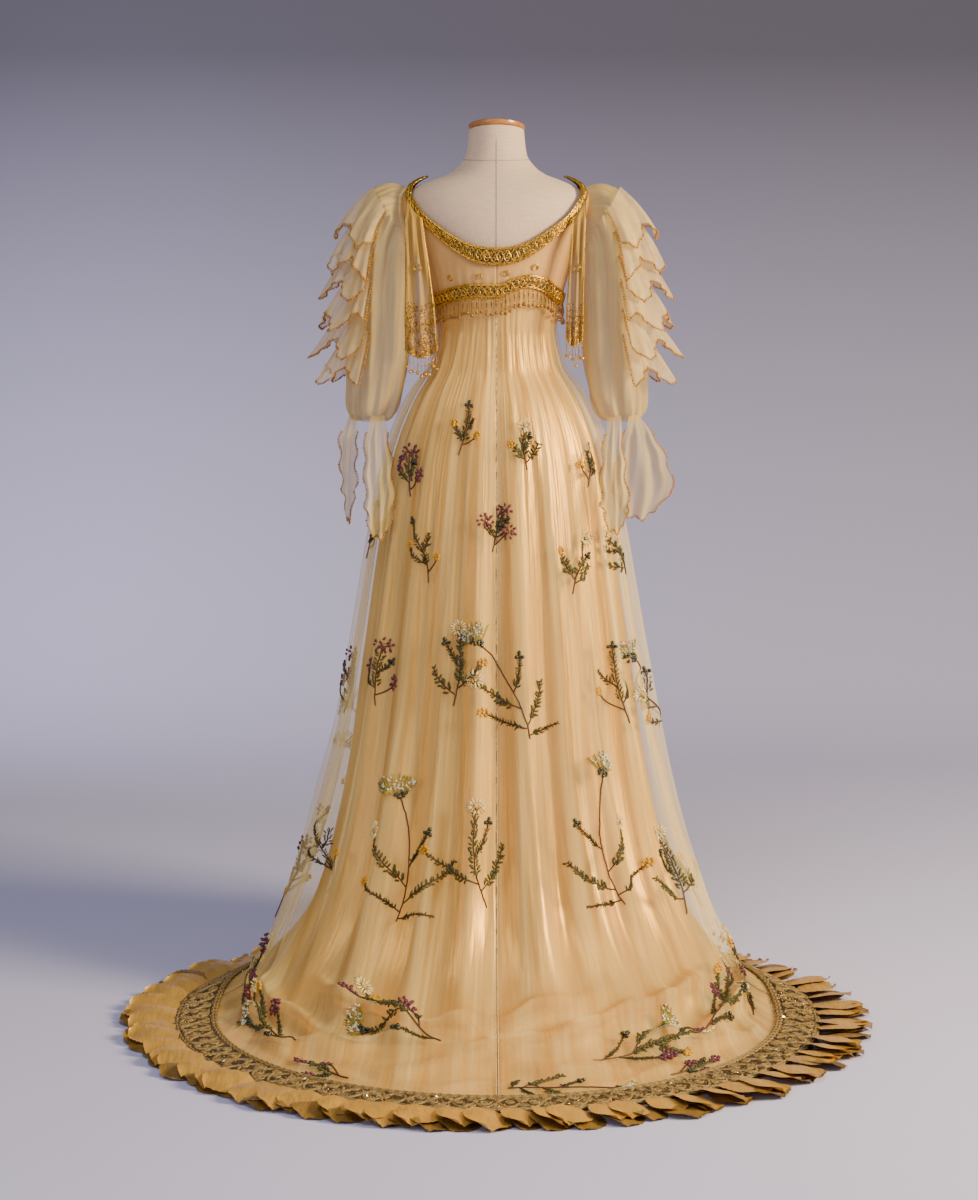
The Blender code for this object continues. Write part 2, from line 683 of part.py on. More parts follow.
def build_skirts():
    """The satin skirt and the tulle skirt over it, each in a front and two backs."""
    satin = material("champagne_satin", (0.86, 0.64, 0.42), 0.4)
    tulle = material("ivory_tulle", (0.88, 0.78, 0.60), 0.8)
    for name, first, last, columns in SKIRT_PANELS:
        skirt_panel("underskirt_" + name, satin_point, SATIN_ROWS, first, last, columns, SATIN, satin)
        skirt_panel("overskirt_" + name, tulle_point, TULLE_ROWS, first, last, columns, TULLE, tulle)


def build_hem_band():
    """The thick beaded band on the tulle's edge, its lumps of beadwork raised over a plain back."""
    crust = material("beaded_hem", (0.34, 0.27, 0.15), 0.5, 0.4)
    angles = []
    for _, first, last, columns in SKIRT_PANELS:
        angles += spaced(first, last, columns)[:-1]
    outer, inner = [], []
    for row, crest in HEM_BAND_CRESTS:
        raised, plain = [], []
        for column, angle in enumerate(angles):
            lump = HEM_BAND_LUMP * crest * (0.5 + 0.5 * math.sin(column * HEM_BAND_BEAT))
            lift = tulle_lift(angle, row) + HEM_BAND_GAP
            plain.append(on_skirt(angle, row, lift))
            raised.append(on_skirt(angle, row, lift + HEM_BAND_THICKNESS + lump))
        outer.append(raised)
        inner.append(plain)
    lined("hem_band", outer, inner, crust)


def hem_point(angle, out, height):
    """A point on or over the floor, at a distance outwards from the skirt's hem."""
    hem = skirt_surface(angle, LAST_ROW)
    beside = skirt_surface(angle + 0.5, LAST_ROW) - skirt_surface(angle - 0.5, LAST_ROW)
    outwards = Vector((-beside.y, beside.x, 0)).normalized()
    if outwards.dot(Vector((hem.x, hem.y - SKIRT_ROWS[-1].widest, 0))) < 0:
        outwards.negate()
    place = hem + outwards * out
    return Vector((place.x, place.y, height))


def petal_ring(name, across, offset, root_height, tip_height, uneven, finish):
    """A ring of petals on the floor outside the hem, fused side by side, with round outer ends."""
    columns = PETAL_COUNT * across
    roots, tips = [], []
    for column in range(columns):
        share = (column / columns * PETAL_COUNT + offset) % 1.0
        petal = int(column / columns * PETAL_COUNT + offset)
        angle = 360 * column / columns
        reach = PETAL_VALLEY + (1 - PETAL_VALLEY) * math.sin(math.pi * share) ** PETAL_ROUNDNESS
        lift = uneven * (0.5 + 0.5 * math.sin(petal * PETAL_BEAT)) * math.sin(math.pi * share)
        start = PETAL_START_FRONT + (PETAL_START_BACK - PETAL_START_FRONT) * train_share(angle)
        roots.append(hem_point(angle, start, root_height))
        tips.append(hem_point(angle, start + PETAL_LENGTH * reach, tip_height + lift))
    return cloth(name, [roots, tips], PETAL_WALL, finish, closed=True)


def build_petals():
    """Two rings of satin petals that lie outside the hem, the upper one half a petal round."""
    satin = material("gold_satin", (0.80, 0.56, 0.28), 0.4)
    petal_ring("petals_lower", LOWER_PETAL_COLUMNS, 0.0, PETAL_WALL, PETAL_WALL, 0.0, satin)
    upper = 2 * PETAL_WALL + LAP_GAP
    root = upper + PETAL_ROOT_LIFT
    petal_ring("petals_upper", UPPER_PETAL_COLUMNS, 0.5, root, upper, PETAL_TIP_LIFT, satin)


def armhole_point(side, turn, out):
    """A point of the armhole's edge on the form: turn 0 the shoulder, 90 the back, 180 the underarm."""
    height = ARMHOLE_HEIGHT + ARMHOLE_HALF * math.cos(math.radians(turn))
    round_body = 90 - (ARMHOLE_CUT + SLEEVE_LAP) * math.sin(math.radians(turn))
    return on_form(side * round_body, height, out)


def sleeve_ring(side, turn, row, out):
    """A point of one of the sleeve's rings. Turn 0 is the outer side of the arm, 90 the back."""
    if row < 1:
        return armhole_point(side, turn, FORM_CLEARANCE + SATIN + SLEEVE_SEAT + out)
    around = math.radians(turn)
    section = SLEEVE_SECTIONS[row - 1]
    tilt = math.radians(section.tilt)
    fold = section.fold * math.cos(around * SLEEVE_FOLDS) + out
    across = (section.across + fold) * math.cos(around)
    deep = (section.deep + fold) * math.sin(around)
    return Vector(
        (
            side * (section.out + math.sin(tilt) * across),
            SLEEVE_CENTRE + deep,
            section.height + math.cos(tilt) * across,
        )
    )


def sleeve_surface(side, turn, row, out=0.0):
    """The sleeve's outer face, straight between its rings."""
    above = int(min(row, len(SLEEVE_SECTIONS) - 1))
    return sleeve_ring(side, turn, above, out).lerp(sleeve_ring(side, turn, above + 1, out), row - above)


def side_turns(side, turns):
    """The turns of a ring in the order that faces its wall outwards."""
    return turns if side < 0 else list(reversed(turns))


def build_sleeve(side, name, chiffon):
    turns = side_turns(side, spaced(0, 360, SLEEVE_COLUMNS + 1)[:-1])
    grid = [[sleeve_surface(side, turn, row) for turn in turns] for row in range(len(SLEEVE_SECTIONS) + 1)]
    cloth(name, grid, CHIFFON, chiffon, closed=True)


def flounce_reach(turn, flounce):
    """How far down a flounce reaches at a turn round the arm, 1 at a corner."""
    away = (turn - flounce.turn) / FLOUNCE_CORNER_PITCH
    return 1 - FLOUNCE_CORNER_DEPTH * 2 * abs(away - round(away))


def build_flounce(side, name, flounce, tulle):
    """One flounce of the cascade: sewn round the sleeve's outer half and standing out to its corners."""
    step = 360 / SLEEVE_COLUMNS
    turns = [step * i for i in range(round(-FLOUNCE_SPREAD / step), round(FLOUNCE_SPREAD / step) + 1)]
    grid = []
    for t in spaced(0, 1, FLOUNCE_ROWS + 1):
        line = []
        for turn in side_turns(side, turns):
            reach = flounce_reach(turn, flounce) * t
            facing = math.cos(math.radians(turn * FLOUNCE_TAPER))
            wide = FLOUNCE_EDGE_REACH + (1 - FLOUNCE_EDGE_REACH) * facing
            out = FLOUNCE_GAP + TULLE + flounce.reach * reach * wide
            line.append(sleeve_surface(side, turn, flounce.row + flounce.drop * reach, out))
        grid.append(line)
    cloth(name, grid, TULLE, tulle)


def build_sleeves(chiffon):
    tulle = material("peach_tulle", (0.86, 0.68, 0.50), 0.8)
    for name, side in (("left", 1), ("right", -1)):
        build_sleeve(side, "sleeve_" + name, chiffon)
        for number, flounce in enumerate(FLOUNCES, 1):
            build_flounce(side, f"flounce_{name}_{number}", flounce, tulle)


def build_strip(side, name, seat, sections, thickness, finish, bow):
    """A hanging strip from the points it is sewn to, a little bowed across so that it reads as cloth."""
    grid = [seat]
    for section in sections:
        line = []
        for across in spaced(1, -1, STRIP_COLUMNS + 1):
            back = section.back + bow * (1 - across * across)
            line.append(Vector((side * section.out + across * section.half_width, back, section.height)))
        grid.append(line)
    return cloth(name, grid, thickness, finish)


def shoulder_seat(side):
    """Where a shoulder drape is sewn on: across the neckband, just outside it."""
    out = FORM_CLEARANCE + SATIN + NECKBAND_LIFT + NECKBAND_THICKNESS + DRAPE_SEAT
    angles = spaced(*DRAPE_ANGLES, STRIP_COLUMNS + 1)
    if side > 0:
        angles.reverse()
    return [on_form(side * angle, neck_height(angle) + DRAPE_ABOVE, out) for angle in angles]


def build_drapes(beads):
    """The long embroidered drape from each shoulder, with beads along its end."""
    tulle = material("embroidered_tulle", (0.78, 0.66, 0.42), 0.7)
    for name, side, sections in (("left", 1, DRAPE_LEFT), ("right", -1, DRAPE_RIGHT)):
        seat = shoulder_seat(side)
        build_strip(side, "shoulder_drape_" + name, seat, sections, DRAPE_WALL, tulle, DRAPE_BOW)
        end = sections[-1]
        pitch = 2 * end.half_width / DRAPE_STRANDS
        stations = []
        for strand in range(DRAPE_STRANDS):
            for share in (0.0, FRINGE_STRAND_SHARE):
                across = (strand + share) * pitch - end.half_width
                back = end.back + DRAPE_BOW * (1 - (across / end.half_width) ** 2)
                top = Vector((side * end.out + across, back, end.height - LAP_GAP))
                stations.append((top, Vector((0, 1, 0))))
        drop, strip = DRAPE_FRINGE_LENGTH, DRAPE_STRIP_HEIGHT
        comb("drape_fringe_" + name, stations, drop, strip, FRINGE_DEPTH, beads, closed=False)


def cuff_seat(side, first, last):
    """Where a tie is knotted to the sleeve's cuff, between two turns round the arm."""
    turns = side_turns(-side, spaced(first, last, STRIP_COLUMNS + 1))
    return [sleeve_ring(side, turn, CUFF_RING, TIE_SEAT) for turn in turns]


def build_ties(chiffon):
    """The ends of the chiffon ties knotted round each elbow."""
    for tie in TIES:
        seat = cuff_seat(tie.side, tie.first, tie.last)
        build_strip(tie.side, tie.name, seat, tie.sections, CHIFFON, chiffon, TIE_BOW)


def build_dress():
    gold = material("gold_embroidery", (0.60, 0.40, 0.10), 0.35, 0.7)
    beads = material("gold_beads", (0.70, 0.45, 0.16), 0.25, 0.5)
    chiffon = material("ivory_chiffon", (0.80, 0.70, 0.50), 0.8)
    build_form()
    build_bodice()
    build_neckband(gold)
    build_underbust_band(gold)
    build_band_fringe(beads)
    build_skirts()
    build_hem_band()
    build_petals()
    build_sleeves(chiffon)
    build_drapes(beads)
    build_ties(chiffon)


clear_scene()
dress_collection = bpy.data.collections.new("evening_dress")
bpy.context.scene.collection.children.link(dress_collection)
build_dress()
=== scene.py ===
"""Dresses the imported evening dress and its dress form: cloth, beadwork, embroidery, studio and camera.

Metres, +Z up. The dress faces -Y, its train spreads towards +Y, and the wearer's left is +X. An angle round the
body starts at the centre back and grows towards the wearer's left. Every piece follows the same named sizes as
the solids that it stands for.
"""

import functools
import math
from collections import namedtuple

import bmesh
import bpy
import numpy as np
from bpy.props import FloatProperty, FloatVectorProperty, IntProperty, PointerProperty
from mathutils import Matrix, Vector


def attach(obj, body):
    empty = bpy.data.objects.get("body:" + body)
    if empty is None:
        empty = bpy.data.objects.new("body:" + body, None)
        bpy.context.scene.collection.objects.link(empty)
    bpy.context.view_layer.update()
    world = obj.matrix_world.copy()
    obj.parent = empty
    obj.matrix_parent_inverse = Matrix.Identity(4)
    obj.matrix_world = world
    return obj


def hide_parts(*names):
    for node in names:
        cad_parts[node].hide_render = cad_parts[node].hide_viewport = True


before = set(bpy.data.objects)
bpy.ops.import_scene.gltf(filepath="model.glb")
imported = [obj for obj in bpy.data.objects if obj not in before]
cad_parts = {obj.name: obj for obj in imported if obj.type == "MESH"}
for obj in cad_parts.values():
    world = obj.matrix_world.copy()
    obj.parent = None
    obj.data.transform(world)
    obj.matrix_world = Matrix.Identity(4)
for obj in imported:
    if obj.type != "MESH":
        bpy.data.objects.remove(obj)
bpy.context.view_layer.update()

bl_info = {
    "name": "Evening Dress on Dress Form",
    "version": (1, 0, 0),
    "blender": (4, 5, 0),
    "location": "View3D > Sidebar > Evening Dress",
    "description": "Makes the cloth, beadwork, embroidery and dress form of an evening dress with a train",
    "category": "Add Mesh",
}


def named_rows(kind, *rows):
    """A table whose rows are named tuples of one kind."""
    return tuple(kind(*row) for row in rows)


# Walls of the solids, which place each cloth
SATIN = 0.0015
TULLE = 0.0010
LAP_GAP = 0.0005
FORM_CLEARANCE = 0.0042
NECK_CLEARANCE = 0.0011

# The dress form
CAP_RADIUS = 0.0505
CAP_THICKNESS = 0.012
NECK_TILT = math.radians(11)
NECK_SEAM_HEIGHT = 1.474
NECK_TILTS_FROM = 1.50
SEAM_LIFT = 0.0002

# Trimmings
NECKBAND_WIDTH = 0.030
NECKBAND_LIFT = 0.0017
NECKBAND_THICKNESS = 0.0030
NECKBAND_LAP = 0.003
NECKBAND_SHOULDER_RISE = 0.012
NECKBAND_SHOULDER_SHARPNESS = 4
BAND_HALF_WIDTH = 0.012
BAND_LIFT = 0.0010
BAND_THICKNESS = 0.0030
FRINGE_OUT = 0.0106
FRINGE_LENGTH = 0.032
HEM_BAND_GAP = 0.0010
HEM_BAND_THICKNESS = 0.0040
HEM_BAND_FIRST = 11.0
PETAL_START_FRONT = 0.0090
PETAL_START_BACK = 0.0028
PETAL_WIDTH = 0.066
# Painted shade: the lower ring of petals is this share of the petals' colour, as if shaded by the upper ring.
PETAL_PAINTED_SHADE = 0.45

# Bodice, and the sleeves where they are sewn to it
ARMHOLE_HEIGHT = 1.360
ARMHOLE_HALF = 0.060
ARMHOLE_CUT = 16.0
SLEEVE_LAP = 2.0
SLEEVE_SEAT = 0.0018
SLEEVE_CENTRE = 0.004
SLEEVE_FOLDS = 5
SLEEVE_HEAD_DROP = 0.012
SHOULDER_HEIGHT = 1.4240
NECK_BACK_HEIGHT = 1.2920
NECK_FRONT_HEIGHT = 1.3050
NECK_CURVE = 2.5
SHOULDER_SEAM = 0.6

FormSection = namedtuple("FormSection", "height half_width back front centre")
FORM_SECTIONS = named_rows(
    FormSection,
    (0.840, 0.150, 0.115, 0.102, 0.000),
    (0.930, 0.160, 0.122, 0.105, 0.000),
    (1.110, 0.104, 0.080, 0.082, 0.000),
    (1.160, 0.098, 0.076, 0.083, 0.000),
    (1.200, 0.103, 0.080, 0.094, 0.000),
    (1.250, 0.117, 0.088, 0.114, 0.000),
    (1.310, 0.136, 0.098, 0.128, 0.000),
    (1.350, 0.154, 0.101, 0.112, 0.000),
    (1.380, 0.166, 0.097, 0.094, 0.000),
    (1.405, 0.163, 0.087, 0.080, 0.000),
    (1.420, 0.152, 0.079, 0.072, -0.002),
    (1.432, 0.129, 0.072, 0.066, -0.004),
    (1.444, 0.094, 0.066, 0.060, -0.007),
    (1.453, 0.077, 0.062, 0.056, -0.009),
    (1.484, 0.054, 0.051, 0.050, -0.017),
    (1.524, 0.0495, 0.048, 0.048, -0.026),
)

# A row of both skirts from the waist seam to the hem. The front share is how wide the front is beside the back.
# The folds and the tulle's distance from the satin are measured along the surface's normal.
SkirtRow = namedtuple(
    "SkirtRow",
    "row back_height front_height half_width front_share widest back front satin_fold tulle_gap tulle_fold",
)
SKIRT_ROWS = named_rows(
    SkirtRow,
    (0, 1.2380, 1.2320, 0.1150, 1.00, 0.000, 0.0885, 0.1100, 0.000, 0.0018, 0.000),
    (0.3, 1.2200, 1.2150, 0.1110, 1.00, 0.000, 0.0860, 0.1030, 0.000, 0.0018, 0.000),
    (1, 1.1700, 1.1650, 0.1040, 1.00, 0.000, 0.0810, 0.0900, 0.001, 0.0045, 0.002),
    (2, 1.1100, 1.1050, 0.1130, 1.00, 0.000, 0.0890, 0.0900, 0.001, 0.0070, 0.005),
    (3, 1.0450, 1.0400, 0.1480, 1.00, 0.002, 0.1200, 0.1060, 0.002, 0.0100, 0.007),
    (4, 0.9500, 0.9500, 0.1820, 1.00, 0.004, 0.1500, 0.1240, 0.004, 0.0130, 0.008),
    (5, 0.8000, 0.8100, 0.2060, 1.00, 0.008, 0.1740, 0.1520, 0.007, 0.0180, 0.010),
    (6, 0.6000, 0.6300, 0.2330, 1.00, 0.014, 0.1960, 0.1900, 0.010, 0.0240, 0.013),
    (7, 0.3800, 0.4300, 0.2640, 0.98, 0.025, 0.2300, 0.2350, 0.013, 0.0320, 0.016),
    (8, 0.1700, 0.2600, 0.3180, 0.93, 0.055, 0.2900, 0.2700, 0.015, 0.0380, 0.016),
    (9, 0.0450, 0.1600, 0.3950, 0.84, 0.140, 0.4000, 0.2950, 0.006, 0.0190, 0.009),
    (10, 0.0015, 0.1080, 0.4460, 0.77, 0.240, 0.5600, 0.3100, 0.000, 0.0060, 0.003),
    (11, 0.0015, 0.0740, 0.4830, 0.73, 0.300, 0.7600, 0.3200, 0.000, 0.0015, 0.000),
    (11.5, 0.0015, 0.0400, 0.5240, 0.725, 0.316, 0.7990, 0.3290, 0.000, 0.0015, 0.000),
    (12, 0.0015, 0.0015, 0.5550, 0.72, 0.330, 0.8320, 0.3350, 0.000, 0.0015, 0.000),
)
LAST_ROW = SKIRT_ROWS[-1].row
NARROWEST = 0.70
STILL_WIDE = 0.15
WAIST_SEATED = 0.3
WAIST_DROP = 0.0016
TRAIN_STARTS = -0.9
TRAIN_WHOLE = 0.2
FOLD_SHARPNESS = 1.6
FOLD_LEVEL = 0.5
SATIN_RIPPLE = 0.10
SATIN_RIDGE_SHARE = 0.65

Fold = namedtuple("Fold", "angle width height")
SATIN_FOLDS = named_rows(
    Fold,
    (13, 12, 1.0), (38, 13, 0.8), (64, 13, 1.0), (84, 10, 0.9), (114, 15, 0.9), (145, 16, 0.8),
    (180, 17, 0.7), (-145, 16, 0.8), (-113, 15, 0.9), (-82, 11, 1.0), (-58, 12, 0.9), (-34, 12, 0.8),
    (-12, 12, 0.9),
)
TULLE_FOLDS = named_rows(
    Fold,
    (8, 7, 1.0), (23, 8, 0.8), (38, 8, 0.9), (54, 8, 0.8), (70, 9, 1.0), (87, 8, 0.9), (107, 10, 0.9),
    (132, 12, 0.8), (160, 12, 0.7), (-172, 12, 0.7), (-146, 12, 0.8), (-122, 11, 0.9), (-105, 9, 0.9),
    (-86, 8, 1.0), (-70, 8, 0.8), (-54, 8, 0.9), (-38, 8, 0.7), (-23, 8, 0.9), (-8, 7, 0.9),
)

# Small creases on top of the big folds: where each starts, how far it drifts round the skirt for each row, the
# rows that it runs between, how wide it is in degrees and how high it stands in millimetres.
Crease = namedtuple("Crease", "angle drift first last width height")
TULLE_CREASES = named_rows(
    Crease,
    (3.0, 0.10, 0.2, 7.0, 1.5, 2.6), (-4.2, -0.20, 0.2, 6.0, 1.3, 2.2), (7.4, 0.30, 0.2, 8.5, 1.7, 2.8),
    (-9.0, -0.40, 0.3, 9.0, 1.6, 3.0), (12.0, 0.60, 0.3, 6.5, 1.4, 2.4), (-14.5, -0.30, 0.2, 8.0, 1.8, 2.6),
    (17.0, 0.40, 0.4, 9.2, 1.9, 3.2), (-20.0, -0.60, 0.3, 6.0, 1.5, 2.2), (22.5, 0.70, 0.3, 8.0, 1.6, 2.4),
    (-26.0, -0.50, 0.6, 9.5, 2.1, 3.4), (29.0, 0.20, 0.8, 7.5, 1.7, 2.6), (-33.0, -0.20, 0.4, 8.0, 1.8, 2.6),
    (35.5, 0.50, 0.6, 9.6, 2.2, 3.6), (-41.0, 0.40, 1.0, 9.0, 2.4, 3.2), (44.0, -0.30, 0.9, 8.5, 2.0, 2.8),
    (-48.5, -0.60, 1.2, 9.8, 2.2, 3.6), (51.0, 0.60, 1.1, 9.0, 2.4, 3.4), (-57.0, 0.30, 1.5, 8.0, 2.2, 2.6),
    (60.0, -0.50, 1.4, 9.5, 2.6, 3.6), (-66.0, -0.20, 1.6, 9.5, 2.4, 3.4), (69.0, 0.40, 1.8, 9.0, 2.4, 3.0),
    (-75.0, 0.50, 2.0, 9.5, 2.8, 3.6), (79.0, -0.20, 2.1, 9.8, 2.6, 3.4), (-84.0, -0.40, 2.0, 9.0, 2.4, 3.0),
    (90.0, 0.30, 2.4, 9.5, 3.0, 3.2), (-97.0, 0.20, 2.6, 9.5, 3.0, 3.2), (104.0, -0.40, 1.8, 9.8, 3.0, 3.0),
    (-118.0, 0.40, 1.4, 9.5, 3.4, 3.2), (122.0, 0.30, 1.2, 9.6, 3.2, 3.2), (-136.0, -0.30, 1.0, 9.0, 3.2, 3.0),
    (141.0, -0.30, 0.8, 9.6, 3.4, 3.2), (-153.0, 0.20, 0.6, 9.4, 3.0, 2.8), (158.0, 0.20, 0.5, 9.0, 3.2, 2.8),
    (-168.0, -0.10, 0.4, 9.5, 3.2, 2.8), (172.0, 0.10, 0.4, 9.5, 3.0, 3.0),
    (6.0, 0.50, 5.2, 10.3, 3.6, 9.0), (-13.0, -0.80, 6.0, 10.4, 3.2, 8.0), (19.0, 1.00, 6.4, 10.5, 3.8, 10.0),
    (-29.0, -0.60, 5.0, 10.2, 4.2, 9.0), (36.0, 0.50, 6.2, 10.4, 3.6, 9.0), (-43.0, 0.70, 6.6, 10.4, 3.8, 11.0),
    (49.0, -0.80, 5.6, 10.2, 4.4, 9.0), (-59.0, -0.50, 6.0, 10.3, 4.2, 10.0), (66.0, 0.60, 6.6, 10.3, 4.0, 10.0),
    (-76.0, 0.40, 6.2, 10.2, 4.6, 9.0), (84.0, -0.40, 6.4, 10.2, 4.4, 9.0), (-99.0, 0.30, 6.0, 10.0, 5.0, 8.0),
    (110.0, -0.30, 6.2, 10.0, 5.0, 8.0), (-128.0, 0.20, 6.0, 10.0, 5.0, 7.0), (135.0, 0.20, 6.4, 10.0, 5.0, 7.0),
)
CREASE_FADE = 0.9

# Soft ridges where the tulle lies gathered on the train: middle angle and row, half-sizes in degrees and rows,
# how far the ridge slants for each degree, and its height in millimetres.
Ridge = namedtuple("Ridge", "angle row across along slant height")
TRAIN_RIDGES = named_rows(
    Ridge,
    (-6, 9.35, 16, 0.16, 0.014, 15), (15, 9.65, 18, 0.17, -0.012, 17), (-25, 9.60, 17, 0.18, 0.016, 18),
    (34, 9.40, 15, 0.16, -0.020, 15), (-45, 9.40, 16, 0.18, 0.022, 18), (55, 9.70, 16, 0.18, -0.016, 18),
    (2, 10.02, 20, 0.14, 0.008, 13), (-36, 10.05, 17, 0.15, -0.012, 15), (30, 10.08, 16, 0.14, 0.012, 13),
    (-64, 9.80, 15, 0.18, 0.016, 16), (70, 10.05, 14, 0.16, -0.010, 14), (-15, 10.42, 16, 0.12, -0.010, 9),
    (17, 10.44, 16, 0.12, 0.011, 9), (47, 10.40, 13, 0.13, 0.008, 10), (-52, 10.38, 14, 0.13, -0.008, 10),
    (-85, 9.60, 13, 0.20, 0.014, 13), (89, 9.65, 13, 0.20, -0.014, 13), (8, 10.72, 14, 0.09, 0.006, 5),
    (-30, 10.74, 13, 0.09, 0.006, 5), (36, 10.74, 12, 0.09, -0.006, 5),
)

BandHeight = namedtuple("BandHeight", "angle height")
BAND_HEIGHTS = named_rows(
    BandHeight,
    (-180, 1.234), (-120, 1.230), (-85, 1.228), (-60, 1.239), (-43, 1.254), (-27, 1.261), (-14, 1.255),
    (-2, 1.244), (16, 1.245), (35, 1.240), (64, 1.228), (90, 1.226), (130, 1.230), (180, 1.234),
)

# A sleeve's sections from the armhole down. Tilt is how far the section has turned from upright to level.
SleeveSection = namedtuple("SleeveSection", "row out height tilt across deep fold")
SLEEVE_SECTIONS = named_rows(
    SleeveSection,
    (1, 0.183, 1.3680, 26, 0.071, 0.062, 0.001),
    (2, 0.198, 1.3200, 62, 0.056, 0.066, 0.003),
    (3, 0.203, 1.2600, 84, 0.053, 0.065, 0.004),
    (4, 0.206, 1.1900, 90, 0.053, 0.063, 0.005),
    (5, 0.210, 1.1200, 90, 0.052, 0.060, 0.005),
    (6, 0.217, 1.0600, 90, 0.048, 0.054, 0.004),
    (7, 0.223, 1.0220, 90, 0.040, 0.044, 0.002),
    (8, 0.224, 1.0100, 90, 0.027, 0.030, 0.001),
)
SLEEVE_END = SLEEVE_SECTIONS[-1].row

Flounce = namedtuple("Flounce", "row drop reach turn")
FLOUNCES = named_rows(
    Flounce,
    (1.10, 1.10, 0.034, 0),
    (1.70, 1.15, 0.040, 18),
    (2.30, 1.10, 0.046, 0),
    (2.95, 1.15, 0.054, -18),
    (3.60, 1.20, 0.058, 0),
    (4.25, 1.25, 0.050, 18),
)
FLOUNCE_SPREAD = 72.0
FLOUNCE_CORNER_PITCH = 54.0
FLOUNCE_CORNER_DEPTH = 0.40
FLOUNCE_GAP = 0.0006
FLOUNCE_EDGE_REACH = 0.35
FLOUNCE_TAPER = 0.8
FLOUNCE_SAG = 0.009

# Hanging strips: the shoulder drapes and the sleeve ties. Each row is one cross section.
StripSection = namedtuple("StripSection", "row out back height half_width")
DRAPE_LEFT = named_rows(
    StripSection,
    (1, 0.1450, 0.078, 1.3700, 0.015),
    (2, 0.1410, 0.087, 1.3150, 0.019),
    (3, 0.1370, 0.086, 1.2600, 0.023),
    (4, 0.1340, 0.087, 1.2000, 0.027),
    (5, 0.1320, 0.088, 1.1400, 0.029),
)
DRAPE_RIGHT = named_rows(
    StripSection,
    (1, 0.1450, 0.078, 1.3700, 0.012),
    (2, 0.1420, 0.087, 1.3150, 0.013),
    (3, 0.1400, 0.086, 1.2600, 0.014),
    (4, 0.1380, 0.087, 1.2000, 0.015),
    (5, 0.1370, 0.088, 1.1600, 0.015),
)
DRAPE_ANGLES = (54, 66)
DRAPE_ABOVE = 0.006
DRAPE_SEAT = 0.0016
DRAPE_BOW = 0.003
DRAPE_POINT = 0.014
DRAPE_FRINGE_LENGTH = 0.036
TIE_LEFT_OUTER = named_rows(
    StripSection,
    (1, 0.2640, 0.040, 0.9850, 0.014),
    (2, 0.2650, 0.042, 0.9400, 0.013),
    (3, 0.2640, 0.042, 0.8900, 0.011),
    (4, 0.2640, 0.040, 0.8350, 0.006),
)
TIE_LEFT_INNER = named_rows(
    StripSection,
    (1, 0.2120, 0.070, 0.9850, 0.018),
    (2, 0.2080, 0.104, 0.9300, 0.023),
    (3, 0.2050, 0.128, 0.8700, 0.024),
    (4, 0.2050, 0.142, 0.8150, 0.020),
)
TIE_RIGHT_OUTER = named_rows(
    StripSection,
    (1, 0.2540, 0.056, 0.9900, 0.024),
    (2, 0.2600, 0.056, 0.9400, 0.043),
    (3, 0.2620, 0.050, 0.8900, 0.052),
    (4, 0.2560, 0.048, 0.8400, 0.036),
)
TIE_RIGHT_INNER = named_rows(
    StripSection,
    (1, 0.2080, 0.074, 0.9800, 0.014),
    (2, 0.2060, 0.106, 0.9250, 0.020),
    (3, 0.2080, 0.126, 0.8700, 0.022),
    (4, 0.2090, 0.140, 0.8250, 0.018),
)
Tie = namedtuple("Tie", "name side first last sections")
TIES = named_rows(
    Tie,
    ("tie_left_outer", 1, 18, 54, TIE_LEFT_OUTER),
    ("tie_left_inner", 1, 90, 126, TIE_LEFT_INNER),
    ("tie_right_outer", -1, 36, 72, TIE_RIGHT_OUTER),
    ("tie_right_inner", -1, 90, 126, TIE_RIGHT_INNER),
)
CUFF_RING = 7
TIE_SEAT = 0.0008
TIE_BOW = 0.004
STRIP_RIPPLE = 0.0022
STRIP_ROWS = 60
TIE_PICOTS_FROM = 12

# Skirt gores: the angles they run between, and how finely each cloth is drawn
Gore = namedtuple("Gore", "name first last tulle_columns satin_columns")
GORES = named_rows(
    Gore,
    ("back_left", 0, 96, 190, 80),
    ("front", 96, 264, 150, 80),
    ("back_right", 264, 360, 190, 80),
)
GORE_EDGE = 0.05
TULLE_DRAWN_ROWS = ((0.0, 8.6, 70), (8.6, 11.0, 90), (11.0, 12.0, 8))
SATIN_DRAWN_ROWS = ((0.0, 8.6, 46), (8.6, 11.0, 56), (11.0, 12.0, 6))

